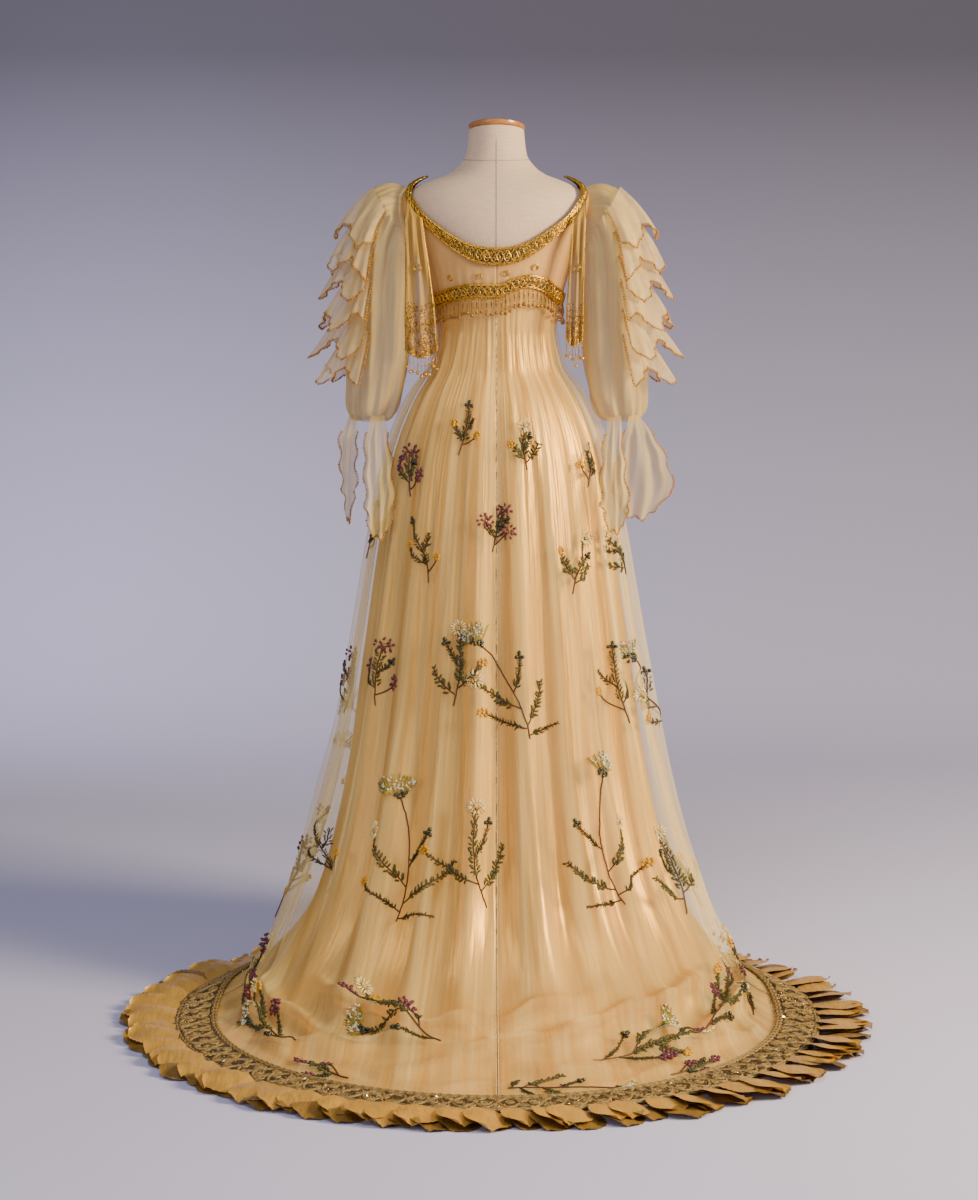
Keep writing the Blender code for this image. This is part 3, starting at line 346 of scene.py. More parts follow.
# A sprig is a main stem with branches. A branch starts at a share of the main stem, leans away from it in
# degrees, is a share of its length, bends by so many degrees, and carries leaves and a flower or none.
Branch = namedtuple("Branch", "start lean length bend leaves flower")
SPRIG_KINDS = {
    "heath": (
        Branch(0.0, 0, 1.0, 18, "needles", "bud"),
        Branch(0.30, 42, 0.42, -20, "needles", "button"),
        Branch(0.20, -48, 0.34, 22, "", "button"),
        Branch(0.52, -34, 0.30, 12, "needles", ""),
    ),
    "daisy": (
        Branch(0.0, 0, 1.0, -24, "leaves", "daisy"),
        Branch(0.26, 50, 0.50, -26, "leaves", "button"),
        Branch(0.18, -55, 0.46, 24, "leaves", ""),
        Branch(0.50, -38, 0.34, 18, "needles", "bud"),
    ),
    "blossom": (
        Branch(0.0, 0, 1.0, 14, "leaves", "blossom"),
        Branch(0.34, -44, 0.44, 20, "needles", "blossom"),
        Branch(0.22, 52, 0.38, -18, "", "blossom"),
        Branch(0.56, 32, 0.28, -10, "needles", "bud"),
    ),
    "plume": (
        Branch(0.0, 0, 1.0, 30, "", "plume"),
        Branch(0.16, -52, 0.44, 30, "leaves", ""),
        Branch(0.30, 48, 0.46, -30, "leaves", "daisy"),
        Branch(0.10, 64, 0.36, -16, "needles", "button"),
        Branch(0.46, -40, 0.30, 14, "needles", "bud"),
        Branch(0.05, -80, 0.24, 10, "needles", ""),
    ),
    "trail": (
        Branch(0.0, 0, 1.0, 40, "leaves", "daisy"),
        Branch(0.20, 46, 0.40, -20, "needles", "blossom"),
        Branch(0.34, -50, 0.36, 30, "leaves", "plume"),
        Branch(0.52, 40, 0.34, -24, "leaves", "button"),
        Branch(0.68, -42, 0.28, 16, "needles", "blossom"),
        Branch(0.08, -30, 0.26, 12, "needles", "bud"),
    ),
}
Sprig = namedtuple("Sprig", "kind angle row length lean")
SPRIGS = named_rows(
    Sprig,
    ("heath", 20, 3.95, 0.085, -12), ("daisy", -16, 4.15, 0.080, 10), ("blossom", 48, 4.50, 0.085, 14),
    ("heath", -50, 4.40, 0.090, -16), ("blossom", 2, 5.05, 0.085, -8), ("heath", 31, 5.35, 0.110, 10),
    ("daisy", -34, 5.45, 0.105, -12), ("heath", 71, 5.20, 0.100, 6), ("daisy", -73, 5.35, 0.100, 10),
    ("plume", -12, 6.60, 0.215, 8), ("daisy", 17, 6.35, 0.150, -14), ("blossom", 50, 6.40, 0.120, 8),
    ("heath", -54, 6.55, 0.130, 12), ("blossom", 83, 6.55, 0.120, -8), ("plume", -88, 6.70, 0.160, 10),
    ("plume", 30, 8.15, 0.260, -10), ("plume", -38, 8.05, 0.240, 14), ("daisy", 3, 7.95, 0.190, 18),
    ("heath", 58, 8.00, 0.160, 16), ("daisy", -66, 8.30, 0.170, -10), ("blossom", 88, 8.30, 0.150, 12),
    ("trail", 12, 9.90, 0.250, 66), ("trail", -20, 10.30, 0.260, -70), ("trail", 46, 10.40, 0.240, 74),
    ("trail", -50, 10.10, 0.240, -62), ("plume", -2, 10.75, 0.170, -84), ("trail", 74, 10.10, 0.190, 60),
    ("trail", -78, 10.20, 0.190, -64), ("blossom", 30, 10.80, 0.110, 84), ("blossom", -36, 10.82, 0.100, -88),
    ("heath", 120, 4.60, 0.095, 8), ("daisy", 150, 5.60, 0.110, -10), ("blossom", 178, 4.90, 0.100, 6),
    ("heath", -150, 4.70, 0.095, -8), ("daisy", -124, 5.60, 0.110, 12), ("plume", 128, 7.60, 0.210, -8),
    ("plume", -136, 7.40, 0.210, 10), ("daisy", 176, 7.00, 0.170, 8), ("blossom", 156, 9.00, 0.130, 10),
    ("daisy", -108, 8.90, 0.150, -8), ("heath", 106, 9.10, 0.130, 10), ("blossom", -166, 9.10, 0.130, -10),
)


def smooth(x):
    x = np.clip(x, 0.0, 1.0)
    return x * x * (3 - 2 * x)


@functools.lru_cache(maxsize=None)
def curve_through(table, column):
    """A column's keys, values and slopes, none of which overshoots the rows."""
    keys = np.array([row[0] for row in table], float)
    values = np.array([getattr(row, column) for row in table], float)
    slopes = np.diff(values) / np.diff(keys)
    before, after = slopes[:-1], slopes[1:]
    same_way = before * after > 0
    between = np.where(same_way, 2 * before * after / np.where(same_way, before + after, 1.0), 0.0)
    return keys, values, np.concatenate((slopes[:1], between, slopes[-1:]))


def read(table, column, at):
    """A table's column at values of its first column, on a smooth curve that stays between its rows."""
    keys, values, slopes = curve_through(table, column)
    at = np.clip(at, keys[0], keys[-1])
    i = np.clip(np.searchsorted(keys, at, side="right") - 1, 0, len(keys) - 2)
    step = keys[i + 1] - keys[i]
    t = (at - keys[i]) / step
    return (
        (1 + 2 * t) * (1 - t) ** 2 * values[i]
        + t * (1 - t) ** 2 * step * slopes[i]
        + t * t * (3 - 2 * t) * values[i + 1]
        + t * t * (t - 1) * step * slopes[i + 1]
    )


def place(x, y, z):
    return np.stack(np.broadcast_arrays(x, y, z), axis=-1).astype(float)


def unit(vectors):
    return vectors / np.maximum(np.linalg.norm(vectors, axis=-1, keepdims=True), 1e-12)


def lifted(surface, turn, along, out, turn_step=0.5, along_step=0.002):
    """The surface's points, moved out along its normal."""
    across = surface(turn + turn_step, along) - surface(turn - turn_step, along)
    down = surface(turn, along + along_step) - surface(turn, along - along_step)
    return surface(turn, along) + unit(np.cross(across, down)) * np.asarray(out)[..., None]


def form_surface(angle, depth):
    """The dress form's skin at an angle, at a depth of minus its height."""
    height = -depth
    turn = np.radians(angle)
    back, front = read(FORM_SECTIONS, "back", height), read(FORM_SECTIONS, "front", height)
    reach = np.where(np.cos(turn) > 0, back, front)
    centre = read(FORM_SECTIONS, "centre", height)
    return place(read(FORM_SECTIONS, "half_width", height) * np.sin(turn), centre + reach * np.cos(turn), height)


def on_form(angle, height, out):
    return lifted(form_surface, angle, -height, out)


def band_height(angle):
    return read(BAND_HEIGHTS, "height", (angle + 180) % 360 - 180)


def neck_height(angle):
    """The neckline's lower edge: lowest at the centre back and front, and up over the shoulders."""
    turn = np.radians(angle)
    lowest = np.where(np.cos(turn) > 0, NECK_BACK_HEIGHT, NECK_FRONT_HEIGHT)
    return lowest + (SHOULDER_HEIGHT - lowest) * np.abs(np.sin(turn)) ** NECK_CURVE


def train_share(angle):
    """How far the skirt at this angle belongs to the train: 1 at the back, 0 at the front."""
    return smooth((np.cos(np.radians(angle)) - TRAIN_STARTS) / (TRAIN_WHOLE - TRAIN_STARTS))


def skirt_surface(angle, row):
    """The satin skirt's form without its folds."""
    angle, row = np.broadcast_arrays(np.asarray(angle, float), np.asarray(row, float))
    turn = np.radians(angle)
    share = train_share(angle)
    level = np.maximum(row, 1.0)
    widest = read(SKIRT_ROWS, "widest", level)
    back, front = read(SKIRT_ROWS, "back", level) - widest, read(SKIRT_ROWS, "front", level) + widest
    reach = np.where(np.cos(turn) > 0, back, front)
    height = share * read(SKIRT_ROWS, "back_height", level)
    height = height + (1 - share) * read(SKIRT_ROWS, "front_height", level)
    narrow = read(SKIRT_ROWS, "front_share", level)
    wide = narrow + (1 - narrow) * smooth((np.cos(turn) + NARROWEST) / (NARROWEST - STILL_WIDE))
    side = wide * read(SKIRT_ROWS, "half_width", level) * np.sin(turn)
    hanging = place(side, widest + reach * np.cos(turn), height)
    waist = band_height(angle) - WAIST_DROP
    seated = on_form(angle, waist + (height - waist) * row, FORM_CLEARANCE + SATIN)
    leaving = smooth((row - WAIST_SEATED) / (1 - WAIST_SEATED))
    return seated + (hanging - seated) * leaving[..., None]


def fold_height(folds, angle):
    total = 0.0
    for fold in folds:
        away = (angle - fold.angle + 180) % 360 - 180
        total = total + fold.height * np.exp(-((away / fold.width * FOLD_SHARPNESS) ** 2))
    return total


def on_skirt(angle, row, out):
    return lifted(skirt_surface, angle, row, out, along_step=0.05)


def gore_grid(gore, columns, stretches, point):
    """A gore's points from seam to seam, with so many rows in each stretch of the skirt."""
    rows = np.concatenate([np.linspace(a, b, count, endpoint=b == LAST_ROW) for a, b, count in stretches])
    return point(*np.meshgrid(np.linspace(gore.first + GORE_EDGE, gore.last - GORE_EDGE, columns), rows))


def satin_point(angle, row):
    fold = (fold_height(SATIN_FOLDS, angle) - FOLD_LEVEL) * 2 * read(SKIRT_ROWS, "satin_fold", row)
    turn = np.radians(angle)
    small = np.sin(turn * 19 + 0.8 * row) + 0.6 * np.sin(turn * 31 - 0.5 * row + 1) - 1.2
    room = SATIN_RIPPLE * read(SKIRT_ROWS, "tulle_gap", row) * smooth((row - 1) / 2)
    ridges = SATIN_RIDGE_SHARE * bpy.context.scene.dress_cloth.ridge_depth * ridge_height(angle, row)
    return on_skirt(angle, row, fold + small * room + ridges * smooth((HEM_BAND_FIRST - row) / 0.4))


def crease_height(angle, row):
    """The small creases, which start and end softly and wander a little on the way down."""
    total = 0.0
    for crease in TULLE_CREASES:
        middle = crease.angle + crease.drift * (row - crease.first) + 0.5 * np.sin(row * 1.7 + crease.angle)
        away = (angle - middle + 180) % 360 - 180
        shown = smooth((row - crease.first) / CREASE_FADE) * smooth((crease.last - row) / CREASE_FADE)
        total = total + 0.001 * crease.height * shown * np.exp(-((away / crease.width) ** 2))
    return total


def ridge_height(angle, row):
    """The ridges of the tulle that lies gathered on the train."""
    total = 0.0
    for ridge in TRAIN_RIDGES:
        away = (angle - ridge.angle + 180) % 360 - 180
        down = row - ridge.row - ridge.slant * away - 0.05 * np.sin(away * 0.35)
        fade = np.exp(-((away / ridge.across) ** 2))
        total = total + 0.001 * ridge.height * fade * np.exp(-((down / ridge.along) ** 2))
    return total


def tulle_lift(angle, row):
    """How far the tulle's outer face stands off the satin's form."""
    fold = (fold_height(TULLE_FOLDS, angle) - FOLD_LEVEL) * 2 * read(SKIRT_ROWS, "tulle_fold", row)
    free = smooth((HEM_BAND_FIRST - row) / 0.4)
    sizes = bpy.context.scene.dress_cloth
    small = sizes.crease_depth * crease_height(angle, row) + sizes.ridge_depth * ridge_height(angle, row)
    return read(SKIRT_ROWS, "tulle_gap", row) + fold + free * small


def tulle_point(angle, row):
    return on_skirt(angle, row, tulle_lift(angle, row))


def linear(code):
    """An sRGB hex colour as linear red, green and blue."""
    shares = [int(code[i : i + 2], 16) / 255 for i in (1, 3, 5)]
    return tuple(s / 12.92 if s <= 0.04045 else ((s + 0.055) / 1.055) ** 2.4 for s in shares)


def colour(value):
    """Red, green and blue as an opaque colour."""
    return (*value, 1.0)


def add(tree, kind, inputs=None, **settings):
    """Adds a node. An input's value is set, or linked where it is another node's output."""
    node = tree.nodes.new(kind)
    for name, value in settings.items():
        setattr(node, name, value)
    for name, value in (inputs or {}).items():
        if isinstance(value, bpy.types.NodeSocket):
            tree.links.new(value, node.inputs[name])
        else:
            node.inputs[name].default_value = value
    return node


def principled(tree, base, roughness, more=None):
    inputs = {"Base Color": base, "Roughness": roughness, **(more or {})}
    return add(tree, "ShaderNodeBsdfPrincipled", inputs)


def material(shaded):
    """Turns a function that adds a shader to a tree into one that returns the material, made once for each name.
    A material that isn't named has the function's name."""

    @functools.wraps(shaded)
    def finish(name=shaded.__name__, *details):
        made = bpy.data.materials.get(name)
        if made is None:
            made = bpy.data.materials.new(name)
            made.use_nodes = True
            made.node_tree.nodes.clear()
            shader = shaded(made.node_tree, *details)
            add(made.node_tree, "ShaderNodeOutputMaterial", {"Surface": shader.outputs[0]})
        return made

    return finish


def varied(tree, pattern, base, low, high):
    """A colour that a pattern darkens and lightens by these shares."""
    return shade(tree, pattern, [c * low for c in base], [min(c * high, 1) for c in base])


def streaks(tree, across, along, source="UV", detail=3.0, third=1.0):
    """Noise drawn out along the cloth, with so many waves to the metre each way."""
    coordinates = add(tree, "ShaderNodeTexCoord")
    scaled = add(tree, "ShaderNodeMapping", {"Vector": coordinates.outputs[source], "Scale": (across, along, third)})
    return add(tree, "ShaderNodeTexNoise", {"Vector": scaled.outputs[0], "Scale": 1.0, "Detail": detail}).outputs[0]


def shade(tree, factor, low, high):
    """A colour between two, low where the factor is 0.3 and high where it is 0.7."""
    ramp = add(tree, "ShaderNodeValToRGB", {"Fac": factor})
    ramp.color_ramp.elements[0].position = 0.3
    ramp.color_ramp.elements[0].color = colour(low)
    ramp.color_ramp.elements[1].position = 0.7
    ramp.color_ramp.elements[1].color = colour(high)
    return ramp.outputs[0]


def level(tree, factor, low, high):
    limits = {"Value": factor, "From Min": 0.3, "From Max": 0.7, "To Min": low, "To Max": high}
    return add(tree, "ShaderNodeMapRange", limits).outputs[0]


def bumped(tree, height, distance, strength=1.0):
    return add(tree, "ShaderNodeBump", {"Height": height, "Distance": distance, "Strength": strength}).outputs[0]


@material
def plain_weave_linen(tree):
    """Unbleached linen stretched over the form: a matt plain weave with thicker slubs in both directions. Its
    threads are about 0.8 mm, and the slubs are drawn every 4 mm so that they show."""
    level_slubs = streaks(tree, 60, 60, "Object", 4.0, 900)
    upright_slubs = streaks(tree, 900, 900, "Object", 4.0, 50)
    both = add(tree, "ShaderNodeMath", {0: level_slubs, 1: upright_slubs}, operation="ADD").outputs[0]
    half = add(tree, "ShaderNodeMath", {0: both, 1: 0.5}, operation="MULTIPLY").outputs[0]
    tint = varied(tree, half, bpy.context.scene.dress_colours.linen, 0.80, 1.14)
    return principled(tree, tint, 0.9, {"Normal": bumped(tree, half, 0.0004), "Sheen Weight": 0.2})


@material
def varnished_beech(tree):
    """Steamed beech, turned and varnished amber: short fine grain under a glossy coat."""
    grain = streaks(tree, 30, 420, "Object", 5.0, 420)
    tint = shade(tree, grain, linear("#8E5420"), linear("#C98A44"))
    return principled(tree, tint, 0.35, {"Coat Weight": 0.6, "Coat Roughness": 0.12})


@material
def powder_painted_steel(tree):
    """Powder-painted steel of the stand: a fine orange-peel under an even grey."""
    peel = streaks(tree, 700, 700, "Object", 2.0, 700)
    tint = shade(tree, peel, linear("#9C9A96"), linear("#ABA9A5"))
    return principled(tree, tint, 0.45, {"Normal": bumped(tree, peel, 0.0001)})


@material
def duchesse_satin(tree, base, source="UV", shine=0.45, ripple_depth=0.006, waves=(9, 26)):
    """Silk satin: long floats that shine warmly, with soft lengthwise ripples, and broad cloudy changes of colour that
    are partly the silk's uneven tone and partly painted shade, drawn out along the cloth like the shading of soft
    folds.
    """
    across = 1 if source == "UV" else 8
    shade_and_tone_clouds = streaks(tree, waves[0], 2.5 * across, source)
    ripples = streaks(tree, waves[1], 3 * across, source)
    more = {"Metallic": shine, "Normal": bumped(tree, ripples, ripple_depth)}
    # The clouds darken and lighten the satin's colour: partly uneven tone, partly painted shade of soft folds.
    return principled(tree, varied(tree, shade_and_tone_clouds, base, 0.80, 1.08), level(tree, shade_and_tone_clouds, 0.30, 0.42), more)


@material
def sheer_cloth(tree, base, thin, thick, across=34, along=1.6, fine=0.35):
    """Silk tulle or chiffon: a see-through net whose creases gather more thread and look denser. The net is
    finer than a render's pixel, so it is drawn as a tint that varies along the threads."""
    broad = streaks(tree, across, along)
    narrow = streaks(tree, across * 4, along * 2)
    threads = streaks(tree, 1400, 1400, detail=1.0)
    creases = add(tree, "ShaderNodeMix", {"Factor": fine, "A": broad, "B": narrow}, data_type="FLOAT").outputs[0]
    weights = {0: level(tree, creases, thin, thick), 1: level(tree, threads, 0.93, 1.07)}
    woven = add(tree, "ShaderNodeMath", weights, operation="MULTIPLY").outputs[0]
    more = {"Alpha": woven, "Normal": bumped(tree, creases, 0.0009), "Specular IOR Level": 0.15}
    return principled(tree, varied(tree, creases, base, 0.92, 1.06), 0.75, more)


@material
def gilt_thread(tree):
    """Gold-wrapped embroidery thread: warm metal with painted glints, small spots lightened where each turn would
    catch the light, and painted shade, spots darkened between the turns.
    """
    wire_glints = streaks(tree, 500, 500, "Object", 2.0, 500)
    # Painted glints up to 1.6 times the gold's colour, painted shade down to 0.35 times.
    tint = varied(tree, wire_glints, bpy.context.scene.dress_colours.gold, 0.35, 1.6)
    return principled(tree, tint, level(tree, wire_glints, 0.2, 0.42), {"Metallic": 0.9})


@material
def glass_bead(tree, base, metallic=0.0, roughness=0.15):
    """Pressed glass beads, some foiled: a hard gloss over a colour that differs from bead to bead."""
    lot = streaks(tree, 180, 180, "Object", 1.0, 180)
    return principled(tree, varied(tree, lot, base, 0.55, 1.35), roughness, {"Metallic": metallic, "Coat Weight": 0.5})


@material
def silk_thread(tree, base):
    """Stranded embroidery silk: satin stitches whose colour is darkened and lightened in small patches, as painted
    sheen that stands in for the shift in tone that light gives stitches of each direction.
    """
    strand = streaks(tree, 260, 260, "Object", 2.0, 260)
    # Painted sheen: the strand noise darkens the colour to 0.6 times and lightens it to 1.4 times.
    return principled(tree, varied(tree, strand, base, 0.6, 1.4), 0.5)


@material
def graded_paper(tree, base):
    """Matt studio paper with painted light and shade: darker towards the top and lighter on the floor, where the
    studio's light falls off, with no pattern that would draw the eye from the dress.
    """
    coordinates = add(tree, "ShaderNodeTexCoord")
    height = add(tree, "ShaderNodeSeparateXYZ", {"Vector": coordinates.outputs["Object"]}).outputs["Z"]
    share = add(tree, "ShaderNodeMapRange", {"Value": height, "From Min": -1.25, "From Max": 3.3}).outputs[0]
    # Painted shade and light: 0.3 times the paper's colour at the top, 1.5 times it on the floor.
    return principled(tree, shade(tree, share, [min(c * 1.5, 1) for c in base], [c * 0.30 for c in base]), 0.95)


def gilt_beads():
    return glass_bead("gilt_bead", bpy.context.scene.dress_colours.gold, 0.8, 0.18)


def new_object(name, mesh, finish=None):
    made = bpy.data.objects.new(name, mesh)
    bpy.context.scene.collection.objects.link(made)
    if finish:
        mesh.materials.append(finish)
    return made


def settled(piece, nodes=()):
    """Fixes a finished piece to the dress and hides the solids that it stands for."""
    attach(piece, "root")
    if nodes:
        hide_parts(*nodes)
    return piece


def lengths(points):
    """Distances along a line of points, from 0."""
    return np.concatenate(([0.0], np.cumsum(np.linalg.norm(np.diff(points, axis=0), axis=1))))


def cloth(name, grid, finish, thickness=0.0, closed=False):
    """A sheet through a grid of points on its outer face, with a UV map in metres of cloth."""
    rows, columns = grid.shape[:2]
    count = columns if closed else columns - 1
    row, column = (a.ravel() for a in np.meshgrid(np.arange(rows - 1), np.arange(count), indexing="ij"))
    beside = (column + 1) % columns
    faces = np.stack(
        (row * columns + column, row * columns + beside, (row + 1) * columns + beside, (row + 1) * columns + column),
        axis=1,
    )
    mesh = bpy.data.meshes.new(name)
    mesh.from_pydata(grid.reshape(-1, 3).tolist(), [], faces.tolist())
    mesh.shade_smooth()
    line = grid[rows // 2]
    around = lengths(np.concatenate((line, line[:1])) if closed else line)
    down = lengths(grid[:, columns // 2])
    u = np.stack((around[column], around[column + 1], around[column + 1], around[column]), axis=1)
    v = -np.stack((down[row], down[row], down[row + 1], down[row + 1]), axis=1)
    layer = mesh.uv_layers.new(name="UVMap")
    layer.data.foreach_set("uv", np.stack((u, v), axis=-1).ravel())
    made = new_object(name, mesh, finish)
    if thickness:
        wall = made.modifiers.new("Wall", "SOLIDIFY")
        wall.thickness = thickness
        wall.offset = -1
    return made


def declare(grid, closed=False):
    """Works out a sheet's cut, as wide as its longest row and as long as its longest column, and its area; nothing
    keeps these sizes.
    """
    if closed:
        grid = np.concatenate((grid, grid[:, :1]), axis=1)
    width = max(lengths(row)[-1] for row in grid)
    length = max(lengths(grid[:, i])[-1] for i in range(0, grid.shape[1], 5))
    across, down = grid[:-1, 1:] - grid[:-1, :-1], grid[1:, :-1] - grid[:-1, :-1]
    area = float(np.linalg.norm(np.cross(across, down), axis=-1).sum())
    area = min(max(area, 0.31 * width * length), width * length)


def loft_solid(name, grid, finish):
    """A smooth solid through closed rings, from the top ring down, with flat ends."""
    made = cloth(name, grid, finish, closed=True)
    shape = bmesh.new()
    shape.from_mesh(made.data)
    bmesh.ops.holes_fill(shape, edges=[edge for edge in shape.edges if edge.is_boundary], sides=0)
    bmesh.ops.recalc_face_normals(shape, faces=shape.faces)
    shape.to_mesh(made.data)
    shape.free()
    made.data.set_sharp_from_angle(angle=math.radians(50))
    return made


def turns_to(along, out):
    """Euler angles that turn a template's X to a direction along the cloth and its Z outwards."""
    x = unit(along)
    y = unit(np.cross(out, x))
    z = np.cross(x, y)
    return np.stack(
        (np.arctan2(y[..., 2], z[..., 2]), -np.arcsin(np.clip(x[..., 2], -1, 1)), np.arctan2(x[..., 1], x[..., 0])),
        axis=-1,
    )


def start_tree(name, sockets):
    """A geometry tree that takes points or lines, these sockets and a finish, and gives pieces."""
    tree = bpy.data.node_groups.new(name, "GeometryNodeTree")
    for socket, kind, *values in (("Geometry", "Geometry"), *sockets, ("Finish", "Material")):
        made = tree.interface.new_socket(name=socket, in_out="INPUT", socket_type="NodeSocket" + kind)
        for setting, value in zip(("default_value", "min_value"), values):
            setattr(made, setting, value)
    tree.interface.new_socket(name="Geometry", in_out="OUTPUT", socket_type="NodeSocketGeometry")
    return tree


def close_tree(tree, pieces, finish):
    joined = add(tree, "GeometryNodeRealizeInstances", {"Geometry": pieces.outputs[0]})
    finished = add(tree, "GeometryNodeSetMaterial", {"Geometry": joined.outputs[0], "Material": finish})
    add(tree, "NodeGroupOutput", {"Geometry": finished.outputs[0]})
    return tree


def sewn_tree():
    """Geometry nodes that sew a small piece on at every point, turned and sized by the point's attributes."""
    tree = bpy.data.node_groups.get("Sewn-on pieces")
    if tree:
        return tree
    sizes = (("Size", "Float", 0.002, 0.0), ("Unevenness", "Float", 0.15, 0.0), ("Seed", "Int", 1))
    tree = start_tree("Sewn-on pieces", (("Piece", "Object"), *sizes))
    given = add(tree, "NodeGroupInput").outputs
    piece = add(tree, "GeometryNodeObjectInfo", {"Object": given["Piece"]})
    turn = add(tree, "GeometryNodeInputNamedAttribute", {"Name": "turn"}, data_type="FLOAT_VECTOR")
    rotation = add(tree, "FunctionNodeEulerToRotation", {0: turn.outputs["Attribute"]})
    size = add(tree, "GeometryNodeInputNamedAttribute", {"Name": "size"}, data_type="FLOAT")
    least = add(tree, "ShaderNodeMath", {0: 1.0, 1: given["Unevenness"]}, operation="SUBTRACT")
    most = add(tree, "ShaderNodeMath", {0: 1.0, 1: given["Unevenness"]}, operation="ADD")
    chance = add(
        tree,
        "FunctionNodeRandomValue",
        {"Min": least.outputs[0], "Max": most.outputs[0], "Seed": given["Seed"]},
        data_type="FLOAT",
    )
    own = add(tree, "ShaderNodeMath", {0: size.outputs["Attribute"], 1: given["Size"]}, operation="MULTIPLY")
    scale = add(tree, "ShaderNodeMath", {0: own.outputs[0], 1: chance.outputs["Value"]}, operation="MULTIPLY")
    placed = add(
        tree,
        "GeometryNodeInstanceOnPoints",
        {
            "Points": given["Geometry"],
            "Instance": piece.outputs["Geometry"],
            "Rotation": rotation.outputs[0],
            "Scale": scale.outputs[0],
        },
    )
    return close_tree(tree, placed, given["Finish"])


def cord_tree():
    """Geometry nodes that turn lines into round cords."""
    tree = bpy.data.node_groups.get("Cords along lines")
    if tree:
        return tree
    tree = start_tree("Cords along lines", (("Radius", "Float", 0.001, 0.0), ("Sides", "Int", 5, 3)))
    given = add(tree, "NodeGroupInput").outputs
    line = add(tree, "GeometryNodeMeshToCurve", {"Mesh": given["Geometry"]})
    ring = add(tree, "GeometryNodeCurvePrimitiveCircle", {"Resolution": given["Sides"], "Radius": given["Radius"]})
    cord = add(
        tree,
        "GeometryNodeCurveToMesh",
        {"Curve": line.outputs[0], "Profile Curve": ring.outputs[0], "Fill Caps": True},
    )
    return close_tree(tree, cord, given["Finish"])


def grown(source, tree, values):
    """Runs a geometry tree on an object and keeps the result as the object's plain mesh."""
    modifier = source.modifiers.new(tree.name, "NODES")
    modifier.node_group = tree
    for item in tree.interface.items_tree:
        if item.in_out == "INPUT" and item.name in values:
            modifier[item.identifier] = values[item.name]
    source.data.update()
    depsgraph = bpy.context.evaluated_depsgraph_get()
    depsgraph.update()
    result = bpy.data.meshes.new_from_object(source.evaluated_get(depsgraph))
    source.modifiers.remove(modifier)
    result.name = source.name
    source.data = result
    return source


def sewn(name, template, points, turns, sizes, finish, size=1.0, unevenness=0.15, seed=1):
    """Many copies of a template piece, one at each point."""
    mesh = bpy.data.meshes.new(name)
    mesh.from_pydata(np.asarray(points).reshape(-1, 3).tolist(), [], [])
    count = len(mesh.vertices)
    mesh.attributes.new("turn", "FLOAT_VECTOR", "POINT").data.foreach_set("vector", np.asarray(turns, float).ravel())
    sizes = np.broadcast_to(np.asarray(sizes, float), (count,))
    mesh.attributes.new("size", "FLOAT", "POINT").data.foreach_set("value", np.ascontiguousarray(sizes))
    made = new_object(name, mesh)
    values = {"Piece": template, "Size": size, "Unevenness": unevenness, "Seed": seed, "Finish": finish}
    return grown(made, sewn_tree(), values)


def corded(name, lines, radius, finish, sides=5):
    """Round cords along several lines of points."""
    points, edges = [], []
    for line in lines:
        start = len(points)
        points += np.asarray(line).tolist()
        edges += [(start + i, start + i + 1) for i in range(len(line) - 1)]
    mesh = bpy.data.meshes.new(name)
    mesh.from_pydata(points, edges, [])
    made = grown(new_object(name, mesh), cord_tree(), {"Radius": radius, "Sides": sides, "Finish": finish})
    made.data.shade_smooth()
    return made


def template(name, shape, smooth_faces=True):
    """A small piece to be sewn on many times, kept out of the finished scene by drop()."""
    bmesh.ops.recalc_face_normals(shape, faces=shape.faces)
    mesh = bpy.data.meshes.new(name)
    shape.to_mesh(mesh)
    shape.free()
    if smooth_faces:
        mesh.shade_smooth()
    return new_object(name, mesh)


def drop(*templates):
    for made in templates:
        bpy.data.objects.remove(made)


def lens(name, length, width, height, subdivisions=1):
    """A bead, or a leaf where it is long and flat: a ball drawn out along X, resting on its origin. With no
    subdivisions it has eight facets, which is enough for beads a few pixels wide."""
    shape = bmesh.new()
    if subdivisions:
        bmesh.ops.create_icosphere(shape, subdivisions=subdivisions, radius=0.5)
    else:
        bmesh.ops.create_uvsphere(shape, u_segments=4, v_segments=2, radius=0.5)
    bmesh.ops.scale(shape, vec=(length, width, height), verts=shape.verts)
    return template(name, shape)


def sequin(name):
    shape = bmesh.new()
    bmesh.ops.create_cone(shape, cap_ends=True, segments=6, radius1=0.5, radius2=0.34, depth=0.18)
    return template(name, shape, smooth_faces=False)


def frames(surface, angles, rows, headings, row_step=0.02, angle_step=0.1):
    """Points on a cloth with the direction of a heading, in degrees from straight up, and the way out."""
    angles, rows = np.asarray(angles, float), np.asarray(rows, float)
    across = unit(surface(angles + angle_step, rows) - surface(angles - angle_step, rows))
    down = unit(surface(angles, rows + row_step) - surface(angles, rows - row_step))
    heading = np.radians(headings)[..., None]
    return surface(angles, rows), across * np.sin(heading) - down * np.cos(heading), np.cross(across, down)


def even_angles(curve, count, start=0.0):
    """Angles round the body that are evenly spaced along a closed curve."""
    angles = np.linspace(0, 360, 1441)
    distance = lengths(curve(angles))
    wanted = (np.arange(count) + start) / count * distance[-1]
    return np.interp(wanted, distance, angles)


def neckband_point(angle, share, out):
    """A point of the neckband, from -1 on its lower edge to 1 on its upper edge."""
    steep = np.abs(np.sin(np.radians(angle))) ** NECKBAND_SHOULDER_SHARPNESS
    width = NECKBAND_WIDTH * (1 - steep) + NECKBAND_SHOULDER_RISE * steep
    height = neck_height(angle) - NECKBAND_LAP * (1 - steep) + (share + 1) / 2 * width
    return on_form(angle, height, FORM_CLEARANCE + SATIN + NECKBAND_LIFT + out)


